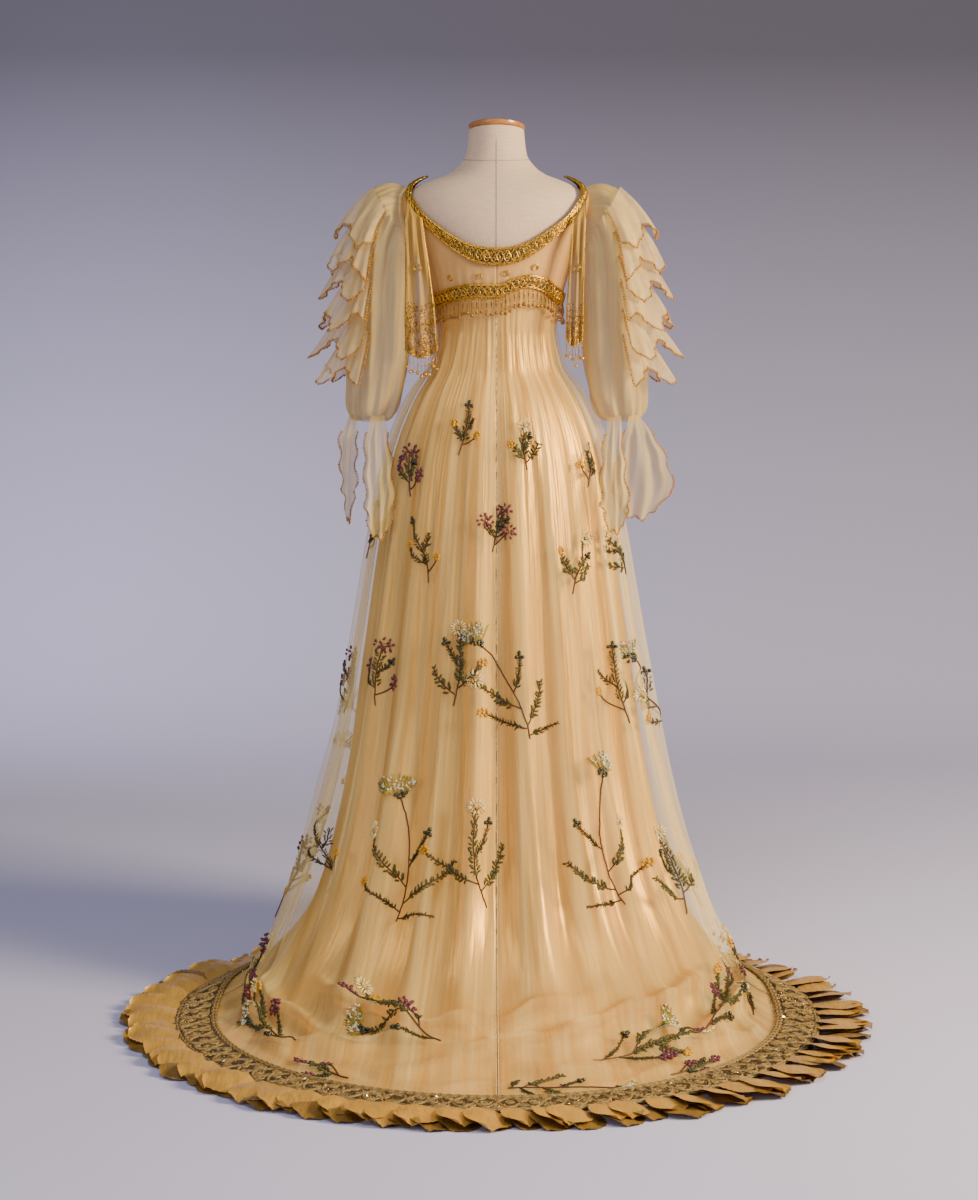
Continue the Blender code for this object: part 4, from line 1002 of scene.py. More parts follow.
def underbust_point(angle, share, out):
    """A point of the band under the bust, from -1 on its lower edge to 1 on its upper edge."""
    inside = FORM_CLEARANCE + SATIN + LAP_GAP + TULLE + BAND_LIFT
    return on_form(angle, band_height(angle) + share * BAND_HALF_WIDTH, inside + out)


def hem_band_point(angle, share, out):
    """A point of the hem's band, from -1 on the hem's edge to 1 on its upper edge."""
    row = LAST_ROW - (share + 1) / 2 * (LAST_ROW - HEM_BAND_FIRST)
    return on_skirt(angle, row, read(SKIRT_ROWS, "tulle_gap", row) + HEM_BAND_GAP + out)


# How a band of goldwork is filled: the band's point function, its width and thickness in metres, how many scrolls
# lie side by side along it and in how many lines, and how many beads and sequins are sewn between them.
Goldwork = namedtuple("Goldwork", "name surface width thickness columns scrolls lines beads sequins cord bead")
GOLDWORK = {
    row[0]: Goldwork(*row)
    for row in (
        ("neckband", neckband_point, 0.028, NECKBAND_THICKNESS, 360, 62, 1, 1500, 260, 0.0011, 0.0028),
        ("underbust_band", underbust_point, 0.024, BAND_THICKNESS, 320, 44, 1, 1000, 160, 0.0011, 0.0028),
        ("hem_band", hem_band_point, 0.080, HEM_BAND_THICKNESS, 720, 84, 3, 5200, 2600, 0.0021, 0.0060),
    )
}
SCROLL_TURNS = 1.7
SCROLL_POINTS = 15
SCROLL_FILL = 0.78
SCROLL_LINES_SPREAD = 1.3
EDGE_CORDS = (-0.92, -0.78, 0.78, 0.92)
VINE_PITCH = 0.9
VINE_REACH = 0.62


def goldwork_face(work, angle, share):
    """The band's padded ground, domed across its width and a little lumpy."""
    dome = 1 - 0.55 * np.abs(share) ** 3
    lumps = 0.18 * np.sin(angle * 1.9 + 3 * share) * np.sin(angle * 0.83 + 1.3) * (1 - share**2)
    return work.surface(angle, share, work.thickness * (dome + lumps))


def goldwork(work, ground_finish, cord_finish, bead_finish):
    """Cords, scrolls, beads and sequins over a padded ground."""
    rng = np.random.default_rng(len(work.name))
    half = work.width / 2
    face = functools.partial(goldwork_face, work)
    angle, share = np.meshgrid(np.arange(work.columns) * 360 / work.columns, np.linspace(1, -1, 9))
    ground = cloth(work.name, face(angle, share), ground_finish, work.thickness * 0.6, closed=True)
    settled(ground, [work.name])
    total = lengths(face(np.linspace(0, 360, 721), np.zeros(721)))[-1]
    per_metre = 360 / total
    lines = []
    for line in range(work.lines):
        middle = (line - (work.lines - 1) / 2) * SCROLL_LINES_SPREAD / work.lines
        size = half * SCROLL_FILL / work.lines
        for i, angle in enumerate(even_angles(lambda a: face(a, a * 0), work.scrolls, 0.5 * line)):
            t = np.linspace(0, 1, SCROLL_POINTS)
            side = 1 if i % 2 else -1
            spin = side * (t * SCROLL_TURNS * 2 * np.pi) + rng.uniform(0, 6.28)
            radius = size * (1.05 - 0.8 * t)
            local = (1.0, 0.7)[i % 2]
            x, y = radius * np.cos(spin) * local * 1.15, radius * np.sin(spin) * local + side * size * 0.18
            lines.append(face(angle + x * per_metre, np.clip(middle + y / half, -0.97, 0.97)))
    cords = [corded(work.name + "_scrolls", lines, work.cord, cord_finish, 4)]
    around = even_angles(lambda a: face(a, a * 0), work.columns)
    around = np.append(around, around[0] + 360)
    edges = []
    for share in EDGE_CORDS:
        wave = share + 0.05 * np.sin(np.arange(len(around)) * 1.9)
        edges.append(face(around, np.clip(wave, -0.99, 0.99)))
    waves = round(total / (work.width * VINE_PITCH))
    for phase in (0, np.pi):
        vine = VINE_REACH * np.sin(np.linspace(0, 2 * np.pi * waves, len(around)) + phase)
        edges.append(face(around, vine))
    cords.append(corded(work.name + "_edge_cords", edges, work.cord * 1.25, cord_finish, 4))
    bead, disc = lens("bead", 1.1, 1.1, 1.0, 0), sequin("sequin")
    sequin_finish = glass_bead("grey_green_sequin", linear("#A39F70"), 0.8, 0.2)
    for name, piece, count, finish, size in (
        ("_beads", bead, work.beads, bead_finish, work.bead),
        ("_sequins", disc, work.sequins, sequin_finish, work.bead * 1.7),
    ):
        angles, shares = rng.uniform(0, 360, count), rng.uniform(-0.9, 0.9, count)
        _, along, out = frames(face, angles, -shares, rng.uniform(0, 360, count))
        points = face(angles, shares) + out * size * 0.3
        turns = turns_to(along, unit(out + 0.55 * rng.normal(size=out.shape)))
        cords.append(sewn(work.name + name, piece, points, turns, 1.0, finish, size, 0.3))
    drop(bead, disc)
    for made in cords:
        settled(made)


def strip_grid(seat, sections, side, bow, columns):
    """A hanging strip's outer face: from the line it is sewn to, through its sections, with soft lengthwise
    folds that deepen towards its end."""
    across = np.linspace(1, -1, columns)
    first = np.linspace(0, 1, len(seat))
    top = np.stack([np.interp(np.linspace(0, 1, columns), first, seat[:, i]) for i in range(3)], axis=-1)
    lines = []
    for t in np.linspace(0, sections[-1].row, STRIP_ROWS):
        at = max(t, 1.0)
        half = read(sections, "half_width", at)
        folds = STRIP_RIPPLE * (np.sin(across * 7.5 + t * 0.6) + 0.5 * np.sin(across * 13 - t * 1.1))
        back = read(sections, "back", at) + bow * (1 - across**2) + folds * min(t, 1.5)
        line = place(side * read(sections, "out", at) + across * half, back, read(sections, "height", at))
        if t < 1:
            line = top + (line - top) * t * (0.35 + 0.65 * smooth(t))
        lines.append(line)
    return np.stack(lines)


def picot_line(edge, away, pitch=0.0050, depth=0.0034):
    """A zigzag of thread loops along an edge, each loop standing away from the cloth."""
    distance = lengths(edge)
    count = max(int(distance[-1] / pitch * 2), 4)
    wanted = np.linspace(0, distance[-1], count)
    points = np.stack([np.interp(wanted, distance, edge[:, i]) for i in range(3)], axis=-1)
    outward = np.stack([np.interp(wanted, distance, away[:, i]) for i in range(3)], axis=-1)
    points[1::2] += unit(outward)[1::2] * depth
    return points


def edge_picots(grid, first_row=0):
    """Picots along a strip's end, and along its two sides from a row on."""
    sides = grid[first_row:]
    lines = [picot_line(grid[-1], grid[-1] - grid[-3])]
    for edge, inner in ((0, 3), (-1, -4)):
        lines.append(picot_line(sides[:, edge], sides[:, edge] - sides[:, inner]))
    return lines


def picot_edging(name, knots_name, picots, radius):
    """Sews the picots' thread on, with a knot at the tip of each."""
    thread = silk_thread("picot_gold_brown", linear("#B07C28"))
    settled(corded(name, picots, radius, thread, 4))
    tips = np.concatenate([line[1::2] for line in picots])
    knot = lens("knot", 1.1, 1.1, 1.1, 0)
    settled(sewn(knots_name, knot, tips, np.zeros_like(tips), 1.0, thread, 0.0036, 0.3))
    drop(knot)


def shoulder_seat(side):
    """Where a shoulder drape is sewn on: across the neckband, just outside it."""
    out = FORM_CLEARANCE + SATIN + NECKBAND_LIFT + NECKBAND_THICKNESS + DRAPE_SEAT
    angles = np.linspace(*DRAPE_ANGLES, 9)
    if side > 0:
        angles = angles[::-1]
    return on_form(side * angles, neck_height(angles) + DRAPE_ABOVE, out)


def armhole_point(side, turn, out):
    """A point of the armhole's edge. Turn 0 is the shoulder, 90 the back and 180 the underarm."""
    height = ARMHOLE_HEIGHT + ARMHOLE_HALF * np.cos(np.radians(turn))
    round_body = 90 - (ARMHOLE_CUT + SLEEVE_LAP) * np.sin(np.radians(turn))
    return on_form(side * round_body, height, out)


def sleeve_surface(side, turn, row, out=0.0):
    """The sleeve's outer face. Turn 0 is the outer side of the arm, 90 the back."""
    turn, row, out = np.broadcast_arrays(*(np.asarray(a, float) for a in (turn, row, out)))
    around = np.radians(turn)
    at = np.maximum(row, 1.0)
    tilt = np.radians(read(SLEEVE_SECTIONS, "tilt", at))
    fold = read(SLEEVE_SECTIONS, "fold", at) * np.cos(around * SLEEVE_FOLDS) + out
    across = (read(SLEEVE_SECTIONS, "across", at) + fold) * np.cos(around)
    deep = (read(SLEEVE_SECTIONS, "deep", at) + fold) * np.sin(around)
    hanging = place(
        side * (read(SLEEVE_SECTIONS, "out", at) + np.sin(tilt) * across),
        SLEEVE_CENTRE + deep,
        read(SLEEVE_SECTIONS, "height", at) + np.cos(tilt) * across,
    )
    armhole = armhole_point(side, turn, FORM_CLEARANCE + SATIN + SLEEVE_SEAT + out)
    return armhole + (hanging - armhole) * np.clip(row, 0, 1)[..., None]


def side_turns(side, turns):
    """Turns in the order that faces a sleeve's wall outwards."""
    return turns if side < 0 else turns[::-1]


def flounce_grid(side, flounce, columns=72, rows=14):
    """One flounce of the cascade, with its corners hanging and soft ripples towards its edge."""
    turns = side_turns(side, np.linspace(-FLOUNCE_SPREAD, FLOUNCE_SPREAD, columns))
    turn, t = np.meshgrid(turns, np.linspace(0, 1, rows))
    away = (turn - flounce.turn) / FLOUNCE_CORNER_PITCH
    reach = (1 - FLOUNCE_CORNER_DEPTH * 2 * np.abs(away - np.round(away))) * t
    facing = np.cos(np.radians(turn * FLOUNCE_TAPER))
    wide = FLOUNCE_EDGE_REACH + (1 - FLOUNCE_EDGE_REACH) * facing
    ripple = 0.0040 * t * (1 + np.sin(np.radians(turn) * 14 + flounce.row * 4))
    ripple += 0.0030 * t * t * np.sin(np.radians(turn) * 31 + flounce.row * 9)
    out = FLOUNCE_GAP + TULLE + flounce.reach * reach * wide + ripple
    grid = sleeve_surface(side, turn, flounce.row + flounce.drop * reach, out)
    grid[..., 2] -= FLOUNCE_SAG * t**3
    return grid


def grow_sprig(sprig, rng):
    """A sprig's own plan, flat, in metres: its stems, and each sewn part's kind, place, heading, size and rise."""
    stems, parts = [], []
    mirror = rng.choice((-1, 1))
    main = None
    for number, branch in enumerate(SPRIG_KINDS[sprig.kind]):
        length = sprig.length * branch.length * rng.uniform(0.85, 1.1)
        heading = mirror * branch.lean + (sprig.lean if number == 0 else rng.uniform(-8, 8))
        start = np.zeros(2)
        if number:
            at = int(branch.start * (len(main[0]) - 1))
            start = main[0][at]
            heading += main[1][at]
        count = max(int(length / 0.006), 5)
        turns = heading + mirror * branch.bend * np.linspace(0, 1, count) + rng.normal(0, 3.5, count)
        steps = np.stack((np.sin(np.radians(turns)), np.cos(np.radians(turns))), axis=-1) * length / count
        line = start + np.concatenate((np.zeros((1, 2)), np.cumsum(steps, axis=0)))
        turns = np.append(turns, turns[-1])
        if number == 0:
            main = (line, turns)
        stems.append(line)
        if branch.leaves:
            needles = branch.leaves == "needles"
            first = 0.30 if number == 0 else 0.12
            pairs = max(int(length * (1 - first) / (0.0042 if needles else 0.0060)), 4)
            for k in range(pairs):
                share = first + (1 - first) * (k + 0.5) / pairs
                at = share * (len(line) - 1)
                x, y = (np.interp(at, np.arange(len(line)), line[:, i]) for i in range(2))
                for side in (-1, 1, 0) if needles else (-1, 1):
                    lean = math.radians(turns[int(at)] + side * rng.uniform(25, 60) + rng.normal(0, 6))
                    size = rng.uniform(0.8, 1.25) * (1.15 - 0.5 * share)
                    reach = (0.0042 if needles else 0.0058) * size * abs(side)
                    spot = (x + reach * math.sin(lean), y + reach * math.cos(lean))
                    kind = "needle" if needles else "leaf"
                    parts.append((kind, *spot, math.degrees(lean), size, 0.0006 * (1 - abs(side))))
        if branch.flower:
            parts += bloom(*line[-1], turns[-1], branch.flower, rng, 1.05 + sprig.length * 2.4)
    return stems, parts


def sprig_surface(sprig):
    """A function that lays the sprig's flat plan on the tulle, with true distances down and across it."""
    rows = np.linspace(0.5, HEM_BAND_FIRST, 160)
    line = skirt_surface(np.full_like(rows, sprig.angle), rows)
    distance = lengths(line)
    base = np.interp(sprig.row, rows, distance)

    def laid(x, y):
        row = np.interp(base - y, distance, rows)
        wide = np.linalg.norm(skirt_surface(sprig.angle + 1, row) - skirt_surface(sprig.angle - 1, row), axis=-1) / 2
        return sprig.angle + x / wide, row

    return laid


SPRIG_OUT = 0.0009
FLOWER_PARTS = ("leaf", "needle", "plume_thread", "pearl", "daisy_petal", "yellow", "purple", "dark")


def scatter_sprigs(colours):
    """All the sprigs: stems as couched cords, and leaves, petals and beads sewn along them."""
    rng = np.random.default_rng(7)
    lines = []
    placed = {part: [] for part in FLOWER_PARTS}
    for sprig in SPRIGS:
        stems, parts = grow_sprig(sprig, rng)
        laid = sprig_surface(sprig)
        for stem in stems:
            angle, row = laid(stem[:, 0], stem[:, 1])
            points, _, out = frames(tulle_point, angle, row, np.zeros(len(angle)))
            lines.append(points + out * SPRIG_OUT)
        numbers = np.array([part[1:] for part in parts], float)
        angle, row = laid(numbers[:, 0], numbers[:, 1])
        kinds = np.array([part[0] for part in parts])
        for kind in set(kinds.tolist()):
            mine = kinds == kind
            placed[kind].append(np.column_stack((angle, row, numbers[:, 2:]))[mine])
    stems = corded("sprig_stems", lines, 0.0014, silk_thread("couched_silk_brown", linear("#4A2718")), 5)
    settled(stems)
    greens, purples = silk_thread("stitched_leaf_green", colours.leaf), linear("#5E2040")
    looks = {
        "leaf": (lens("leaf", 0.0125, 0.0050, 0.0030), greens),
        "needle": (lens("needle", 0.0096, 0.0030, 0.0029, 0), silk_thread("stitched_needle_green", linear("#2E3216"))),
        "plume_thread": (lens("plume_thread", 0.0260, 0.0012, 0.0012), silk_thread("silk_olive", linear("#8A7F2C"))),
        "pearl": (lens("pearl", 0.0038, 0.0035, 0.0033, 0), glass_bead("opal_bead", linear("#DDD6C4"), 0.0, 0.2)),
        "daisy_petal": (lens("daisy_petal", 0.0095, 0.0026, 0.0020), silk_thread("cream_silk", linear("#E4CE94"))),
        "yellow": (lens("yellow_knot", 0.0052, 0.0046, 0.0036), silk_thread("yellow_silk", linear("#CF960E"))),
        "purple": (lens("purple_petal", 0.0066, 0.0042, 0.0032), silk_thread("purple_silk", purples)),
        "dark": (lens("dark_bead", 0.0064, 0.0054, 0.0050), glass_bead("jet_green_bead", linear("#1C2414"))),
    }
    for kind, rows in placed.items():
        data = np.concatenate(rows)
        points, along, out = frames(tulle_point, data[:, 0], data[:, 1], data[:, 2])
        shape, finish = looks[kind]
        points = points + out * (SPRIG_OUT + 0.0003 + data[:, 4])[:, None]
        turns = turns_to(along + 0.22 * rng.normal(size=along.shape) * (kind != "plume_thread"), out)
        settled(sewn("sprig_" + kind, shape, points, turns, data[:, 3], finish, seed=3))
        drop(shape)


def bloom(x, y, heading, kind, rng, size):
    """The sewn parts of a flower at the end of a branch."""
    parts = []

    def put(part, distance, turn, share=1.0, rise=0.0006):
        spot = (x + distance * size * math.sin(math.radians(turn)), y + distance * size * math.cos(math.radians(turn)))
        parts.append((part, *spot, turn, share * size, rise))

    if kind == "bud":
        for k in range(4):
            put("dark", 0.0032 * (k > 0), heading + 120 * k)
    elif kind == "button":
        for k in range(8):
            put("yellow", 0.0040 * (k > 0), heading + 51.4 * k)
    elif kind == "blossom":
        for k in range(14):
            put("purple", (0.0, 0.0046, 0.0088)[(k > 0) + (k > 5)], heading + 137 * k)
        put("yellow", 0.0, heading, 0.6, 0.0020)
    elif kind == "daisy":
        for k in range(15):
            put("daisy_petal", 0.0070, 24 * k)
        for k in range(7):
            put("yellow" if k % 2 else "pearl", 0.0018 * (k > 0), 60 * k, 0.7, 0.0018)
    elif kind == "plume":
        for _ in range(46):
            put("plume_thread", 0.0120, heading + rng.uniform(-66, 66), 1.0, rng.uniform(0.0003, 0.0018))
        for k in range(60):
            put("pearl", rng.uniform(0.007, 0.022), heading + rng.uniform(-58, 58), 0.8, rng.uniform(0.001, 0.003))
        for k in range(12):
            put("dark", rng.uniform(0.0, 0.007), heading + 30 * k, 0.8)
    return parts


def hem_place(angle, out, height):
    """A point over the floor, at a distance outwards from the skirt's hem, and the way outwards."""
    hem = skirt_surface(angle, LAST_ROW)
    beside = skirt_surface(angle + 0.5, LAST_ROW) - skirt_surface(angle - 0.5, LAST_ROW)
    outwards = unit(place(-beside[..., 1], beside[..., 0], 0.0))
    middle = place(0.0, SKIRT_ROWS[-1].widest, 0.0)
    inward = (outwards * (hem - middle)).sum(axis=-1) < 0
    outwards = np.where(inward[..., None], -outwards, outwards)
    spot = hem + outwards * np.asarray(out)[..., None]
    spot[..., 2] = height
    return spot, outwards


def petal_template(name, length, width, curl, rows=27, columns=7, teeth=13):
    """A pinked satin petal: its root at the origin, growing along X to a round tip, with zigzag edges, sides
    curled up round a soft middle vein, and a few crinkles."""
    s, side = np.meshgrid(np.linspace(0, 1, rows), np.linspace(-1, 1, columns), indexing="ij")
    s = 1 - (1 - s) ** 1.5
    half = width / 2 * np.where(
        s < 0.56, 0.40 + 0.60 * np.sin(s / 0.56 * math.pi / 2), np.sqrt(np.maximum(1 - ((s - 0.56) / 0.45) ** 2, 0))
    )
    zigzag = 0.0036 * (np.abs((s * teeth) % 1 - 0.5) * 2) * np.abs(side) ** 6
    x = s * length
    y = side * half + np.sign(side) * zigzag
    z = curl * np.abs(side) ** 2 * s + 0.0014 * np.sin(side * 7 + s * 9) * s
    z += 0.007 * np.sin(s * math.pi) * (1 - side**2) - 0.0022 * np.exp(-((side / 0.2) ** 2)) * s
    return cloth(name, place(x, y, z), None)


def number(name, description, default, least=0.0, kind=FloatProperty, **details):
    return kind(name=name, description=description, default=default, min=least, **details)


def tint(name, description, code):
    return FloatVectorProperty(name=name, description=description, subtype="COLOR", default=linear(code))


class DressCloth(bpy.types.PropertyGroup):
    """Sizes of the cloth."""

    drape_wall: number("Drape wall", "Thickness of the shoulder drapes", 0.0004, 0.0001, unit="LENGTH")
    satin_wall: number("Satin wall", "Thickness of the satin and silk", 0.0006, 0.0001, unit="LENGTH")
    crease_depth: number("Crease depth", "How deep the tulle's small creases are beside their table", 1.7)
    ridge_depth: number("Train ridges", "How high the train's ridges are beside their table", 1.7)
    sleeve_ripple: number("Sleeve ripple", "Depth of the sleeves' small folds", 0.0022, unit="LENGTH")


class DressColours(bpy.types.PropertyGroup):
    """Colours of the dress, its beadwork and its form."""

    satin: tint("Satin", "Champagne underskirt", "#E2A63C")
    tulle: tint("Tulle", "Ivory overskirt", "#FFE5A0")
    silk: tint("Bodice silk", "Peach bodice", "#D3A466")
    chiffon: tint("Chiffon", "Sleeves and ties", "#D2B670")
    flounce: tint("Flounces", "Cascade down the sleeves", "#E6C890")
    petal: tint("Petals", "Satin petals round the hem", "#D2A350")
    gold: tint("Gold", "Gilt thread", "#CFA03A")
    leaf: tint("Leaf", "Stitched leaves", "#454A1E")
    linen: tint("Linen", "Dress form", "#D8BBA2")


class DressBeadwork(bpy.types.PropertyGroup):
    """Sizes of the bead fringe and petals."""

    fringe_strands: number("Fringe strands", "Bead strands round the band under the bust", 84, 8, IntProperty)
    petals: number("Petals", "Petals in each ring of the hem", 78, 8, IntProperty)
    petal_length: number("Petal length", "Length of a petal outside the hem", 0.080, 0.01, unit="LENGTH")


class DressStage(bpy.types.PropertyGroup):
    """The studio's backdrop and lights."""

    backdrop: tint("Backdrop", "Paper behind and under the form", "#A6A6C6")
    key_power: number("Key light", "Power of the large soft light", 290.0, unit="POWER")
    fill_power: number("Fill light", "Power of the light opposite", 34.0, unit="POWER")
    floor_power: number("Floor light", "Power of the light over the train", 68.0, unit="POWER")
    pool_power: number("Backdrop light", "Pool on the paper", 14.0, unit="POWER")


class DRESS_OT_dress_form(bpy.types.Operator):
    """Linen torso and neck with their seams, turned wooden cap, and the stand's finish."""

    bl_idname = "dress.dress_form"
    bl_label = "Dress form"

    def execute(self, context):
        heights = np.linspace(FORM_SECTIONS[-1].height, FORM_SECTIONS[0].height, 80)
        angles = np.arange(112) * 360 / 112
        angle, height = np.meshgrid(angles, heights)
        grid = form_surface(angle, -height)
        top = FORM_SECTIONS[-1]
        tilted = (grid[..., 1] - top.centre) * math.tan(NECK_TILT)
        grid[..., 2] += tilted * smooth((height - NECK_TILTS_FROM) / (top.height - NECK_TILTS_FROM))
        torso = loft_solid("form_linen", grid, plain_weave_linen())
        settled(torso, ["form_torso"])
        seam_height = np.linspace(1.19, top.height - 0.004, 90)
        centre = on_form(np.zeros(90), seam_height, SEAM_LIFT)
        ring = np.linspace(0, 360, 97)
        neck = on_form(ring, NECK_SEAM_HEIGHT - 0.004 * np.cos(np.radians(ring)), SEAM_LIFT)
        seams = corded("form_seams", [centre, neck], 0.0006, silk_thread("linen_thread", linear("#9C8B7C")), 4)
        settled(seams)
        settled(self.cap(), ["form_neck_cap"])
        for name in ("form_pole", "form_base"):
            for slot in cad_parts[name].material_slots:
                slot.material = powder_painted_steel()
        return {"FINISHED"}

    def cap(self):
        """The turned cap, with rounded edges and a low crown."""
        half = CAP_THICKNESS / 2
        crown = ((0.2, 1.05), (0.6, 1.02), (0.86, 0.96), (0.95, 0.8))
        profile = (*crown, (1.0, 0.45), (1.0, -0.45), (0.96, -0.8), (0.9, -1.0))
        around = np.radians(np.arange(72) * 5)
        across, along = CAP_RADIUS * np.sin(around), CAP_RADIUS * np.cos(around)
        rings = np.stack([place(r * across, r * along, half * z) for r, z in profile])
        up = np.array((0.0, -math.sin(NECK_TILT), math.cos(NECK_TILT)))
        back = np.array((0.0, math.cos(NECK_TILT), math.sin(NECK_TILT)))
        top = FORM_SECTIONS[-1]
        seat = np.array((0.0, top.centre, top.height)) + up * (half + LAP_GAP)
        grid = rings[..., :1] * np.array((1.0, 0, 0)) + rings[..., 1:2] * back + rings[..., 2:] * up + seat
        return loft_solid("form_cap", grid, varnished_beech())


class DRESS_OT_bodice(bpy.types.Operator):
    """Silk bodice in a front and two backs, with its small gold rings."""

    bl_idname = "dress.bodice"
    bl_label = "Bodice"

    def execute(self, context):
        cloth_sizes, colours = context.scene.dress_cloth, context.scene.dress_colours
        silk = sheer_cloth("tulle_over_peach_silk", colours.silk, 1.0, 1.0, 60, 12)
        backs = (("bodice_back_left", 0.1, 89.4, 61), ("bodice_back_right", 270.6, 359.9, 61))
        panels = (("bodice_front", 90, 270, 121), *backs)
        for name, first, last, columns in panels:
            grid = self.grid(first, last, columns)
            made = cloth(name + "_silk", grid, silk, cloth_sizes.satin_wall)
            settled(made, [name])
            declare(grid)
        self.rings()
        return {"FINISHED"}

    def grid(self, first, last, columns):
        share, t = np.meshgrid(np.linspace(0, 1, columns), np.linspace(1, 0, 40))
        nominal = first + (last - first) * share
        bottom = band_height(np.where(nominal > 180, -90.0, 90.0))
        away = np.minimum(np.abs(bottom + t * (SHOULDER_HEIGHT - bottom) - ARMHOLE_HEIGHT) / ARMHOLE_HALF, 1.0)
        edge = (90 - SHOULDER_SEAM - ARMHOLE_CUT * np.cos(away * np.pi / 2) ** 2) / 90
        from_centre = np.where(nominal > 270, nominal - 360, np.where(nominal > 90, nominal - 180, nominal))
        centre = nominal - from_centre
        angle = centre + from_centre * edge
        low, top = band_height(angle), neck_height(nominal)
        clearance = FORM_CLEARANCE + (NECK_CLEARANCE - FORM_CLEARANCE) * t * (1 - np.abs(from_centre) / 90)
        gathers = 0.0005 * np.sin(np.radians(angle) * 46 + 2 * t) * smooth((0.75 - t) / 0.4)
        return on_form(angle, low + t * (top - low), clearance + SATIN + gathers)

    def rings(self):
        """Small worked rings between the two gold bands."""
        lines = []
        for angle, lift, size in ((14, 0.012, 0.0045), (-8, 0.014, 0.0050), (-31, 0.012, 0.0055), (40, 0.016, 0.005),
                                  (150, 0.020, 0.0055), (180, 0.024, 0.006), (-150, 0.020, 0.0055)):
            turn = np.linspace(0, 4 * np.pi, 40)
            radius = size * (1 - 0.35 * turn / (4 * np.pi))
            height = band_height(angle) + BAND_HALF_WIDTH + lift + radius * np.sin(turn)
            around = angle + np.degrees(radius * np.cos(turn) / 0.105)
            lines.append(on_form(around, height, FORM_CLEARANCE + SATIN + 0.0008))
        settled(corded("bodice_rings", lines, 0.0007, gilt_thread(), 5))


class DRESS_OT_gold_bands(bpy.types.Operator):
    """Gold bands round the neckline and under the bust, with the bead fringe."""

    bl_idname = "dress.gold_bands"
    bl_label = "Gold bands and fringe"

    def execute(self, context):
        ground = silk_thread("olive_gold_ground", linear("#40361A"))
        for name in ("neckband", "underbust_band"):
            goldwork(GOLDWORK[name], ground, gilt_thread(), gilt_beads())
        self.fringe(context.scene.dress_beadwork.fringe_strands, glass_bead("amber_bugle", linear("#9A6A1E"), 0.5))
        return {"FINISHED"}

    def fringe(self, strands, beads):
        """Each strand is a bugle between small beads, ending in a larger round one."""
        rng = np.random.default_rng(11)
        angles = even_angles(lambda a: underbust_point(a, a * 0, 0.0), strands)
        top = on_form(angles, band_height(angles), FRINGE_OUT)
        top[:, 2] = band_height(angles) - BAND_HALF_WIDTH + 0.001
        drop_length = FRINGE_LENGTH + rng.uniform(-0.004, 0.002, strands)
        down = np.tile((0.0, 0.0, -1.0), (strands, 1))
        out = place(np.sin(np.radians(angles)), np.cos(np.radians(angles)), 0.0)
        turns = turns_to(down, out)
        bugle, ball = lens("bugle", 0.020, 0.0028, 0.0028), lens("ball", 1, 1, 1, 2)
        middle, end = top + down * 0.013, top + down * drop_length[:, None]
        strings = [np.stack((a, b)) for a, b in zip(top, end)]
        pieces = [
            corded("fringe_threads", strings, 0.0006, gilt_thread(), 3),
            sewn("fringe_bugles", bugle, middle, turns, 1.0, beads, 1.0, 0.1),
            sewn("fringe_balls", ball, end, turns, 1.0, beads, 0.0066, 0.15),
            sewn("fringe_seeds", ball, top + down * 0.0255, turns, 1.0, beads, 0.0032, 0.1),
        ]
        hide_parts("band_fringe")
        for piece in pieces:
            settled(piece)
        drop(bugle, ball)


class DRESS_OT_underskirt(bpy.types.Operator):
    """Champagne satin skirt in three gores."""

    bl_idname = "dress.underskirt"
    bl_label = "Satin underskirt"

    def execute(self, context):
        satin = duchesse_satin("duchesse_satin_champagne", context.scene.dress_colours.satin)
        for gore in GORES:
            grid = gore_grid(gore, gore.satin_columns, SATIN_DRAWN_ROWS, satin_point)
            made = cloth("satin_" + gore.name, grid, satin, context.scene.dress_cloth.satin_wall)
            settled(made, ["underskirt_" + gore.name])
            declare(grid)
        return {"FINISHED"}


class DRESS_OT_overskirt(bpy.types.Operator):
    """Ivory tulle skirt in three gores, gathered at the centre back, with its felled seams."""

    bl_idname = "dress.overskirt"
    bl_label = "Tulle overskirt"

    def execute(self, context):
        tulle = sheer_cloth("ivory_silk_tulle", context.scene.dress_colours.tulle, 0.10, 0.42)
        for gore in GORES:
            grid = gore_grid(gore, gore.tulle_columns, TULLE_DRAWN_ROWS, tulle_point)
            made = cloth("tulle_" + gore.name, grid, tulle)
            settled(made, ["overskirt_" + gore.name])
            declare(grid)
        self.seams()
        return {"FINISHED"}

    def seams(self):
        """A felled edge down each seam, and dark tacking stitches along the one at the centre back."""
        rows = np.linspace(0.1, 10.9, 260)
        edges = [tulle_point(np.full_like(rows, a), rows) + (0, 0, 0.0006) for a in (-0.25, 0.25, 96, 264)]
        thread = silk_thread("seam_silk", linear("#E2C892"))
        settled(corded("tulle_seams", edges, 0.0007, thread, 4))
        stitches = np.arange(0.6, 9.0, 0.21)
        lines = []
        for number, row in enumerate(stitches):
            if number % 5 != 3:
                along = row + np.linspace(0, 0.05 + 0.02 * (number % 3), 4)
                points, _, out = frames(tulle_point, np.full(4, 0.1 * (-1) ** number), along, np.zeros(4))
                lines.append(points + out * 0.0012)
        tacking = silk_thread("tacking_silk", linear("#6A5338"))
        settled(corded("centre_back_stitches", lines, 0.0005, tacking, 4))


class DRESS_OT_sprigs(bpy.types.Operator):
    """Wild-flower sprigs embroidered over the tulle."""

    bl_idname = "dress.sprigs"
    bl_label = "Embroidered sprigs"

    def execute(self, context):
        scatter_sprigs(context.scene.dress_colours)
        return {"FINISHED"}


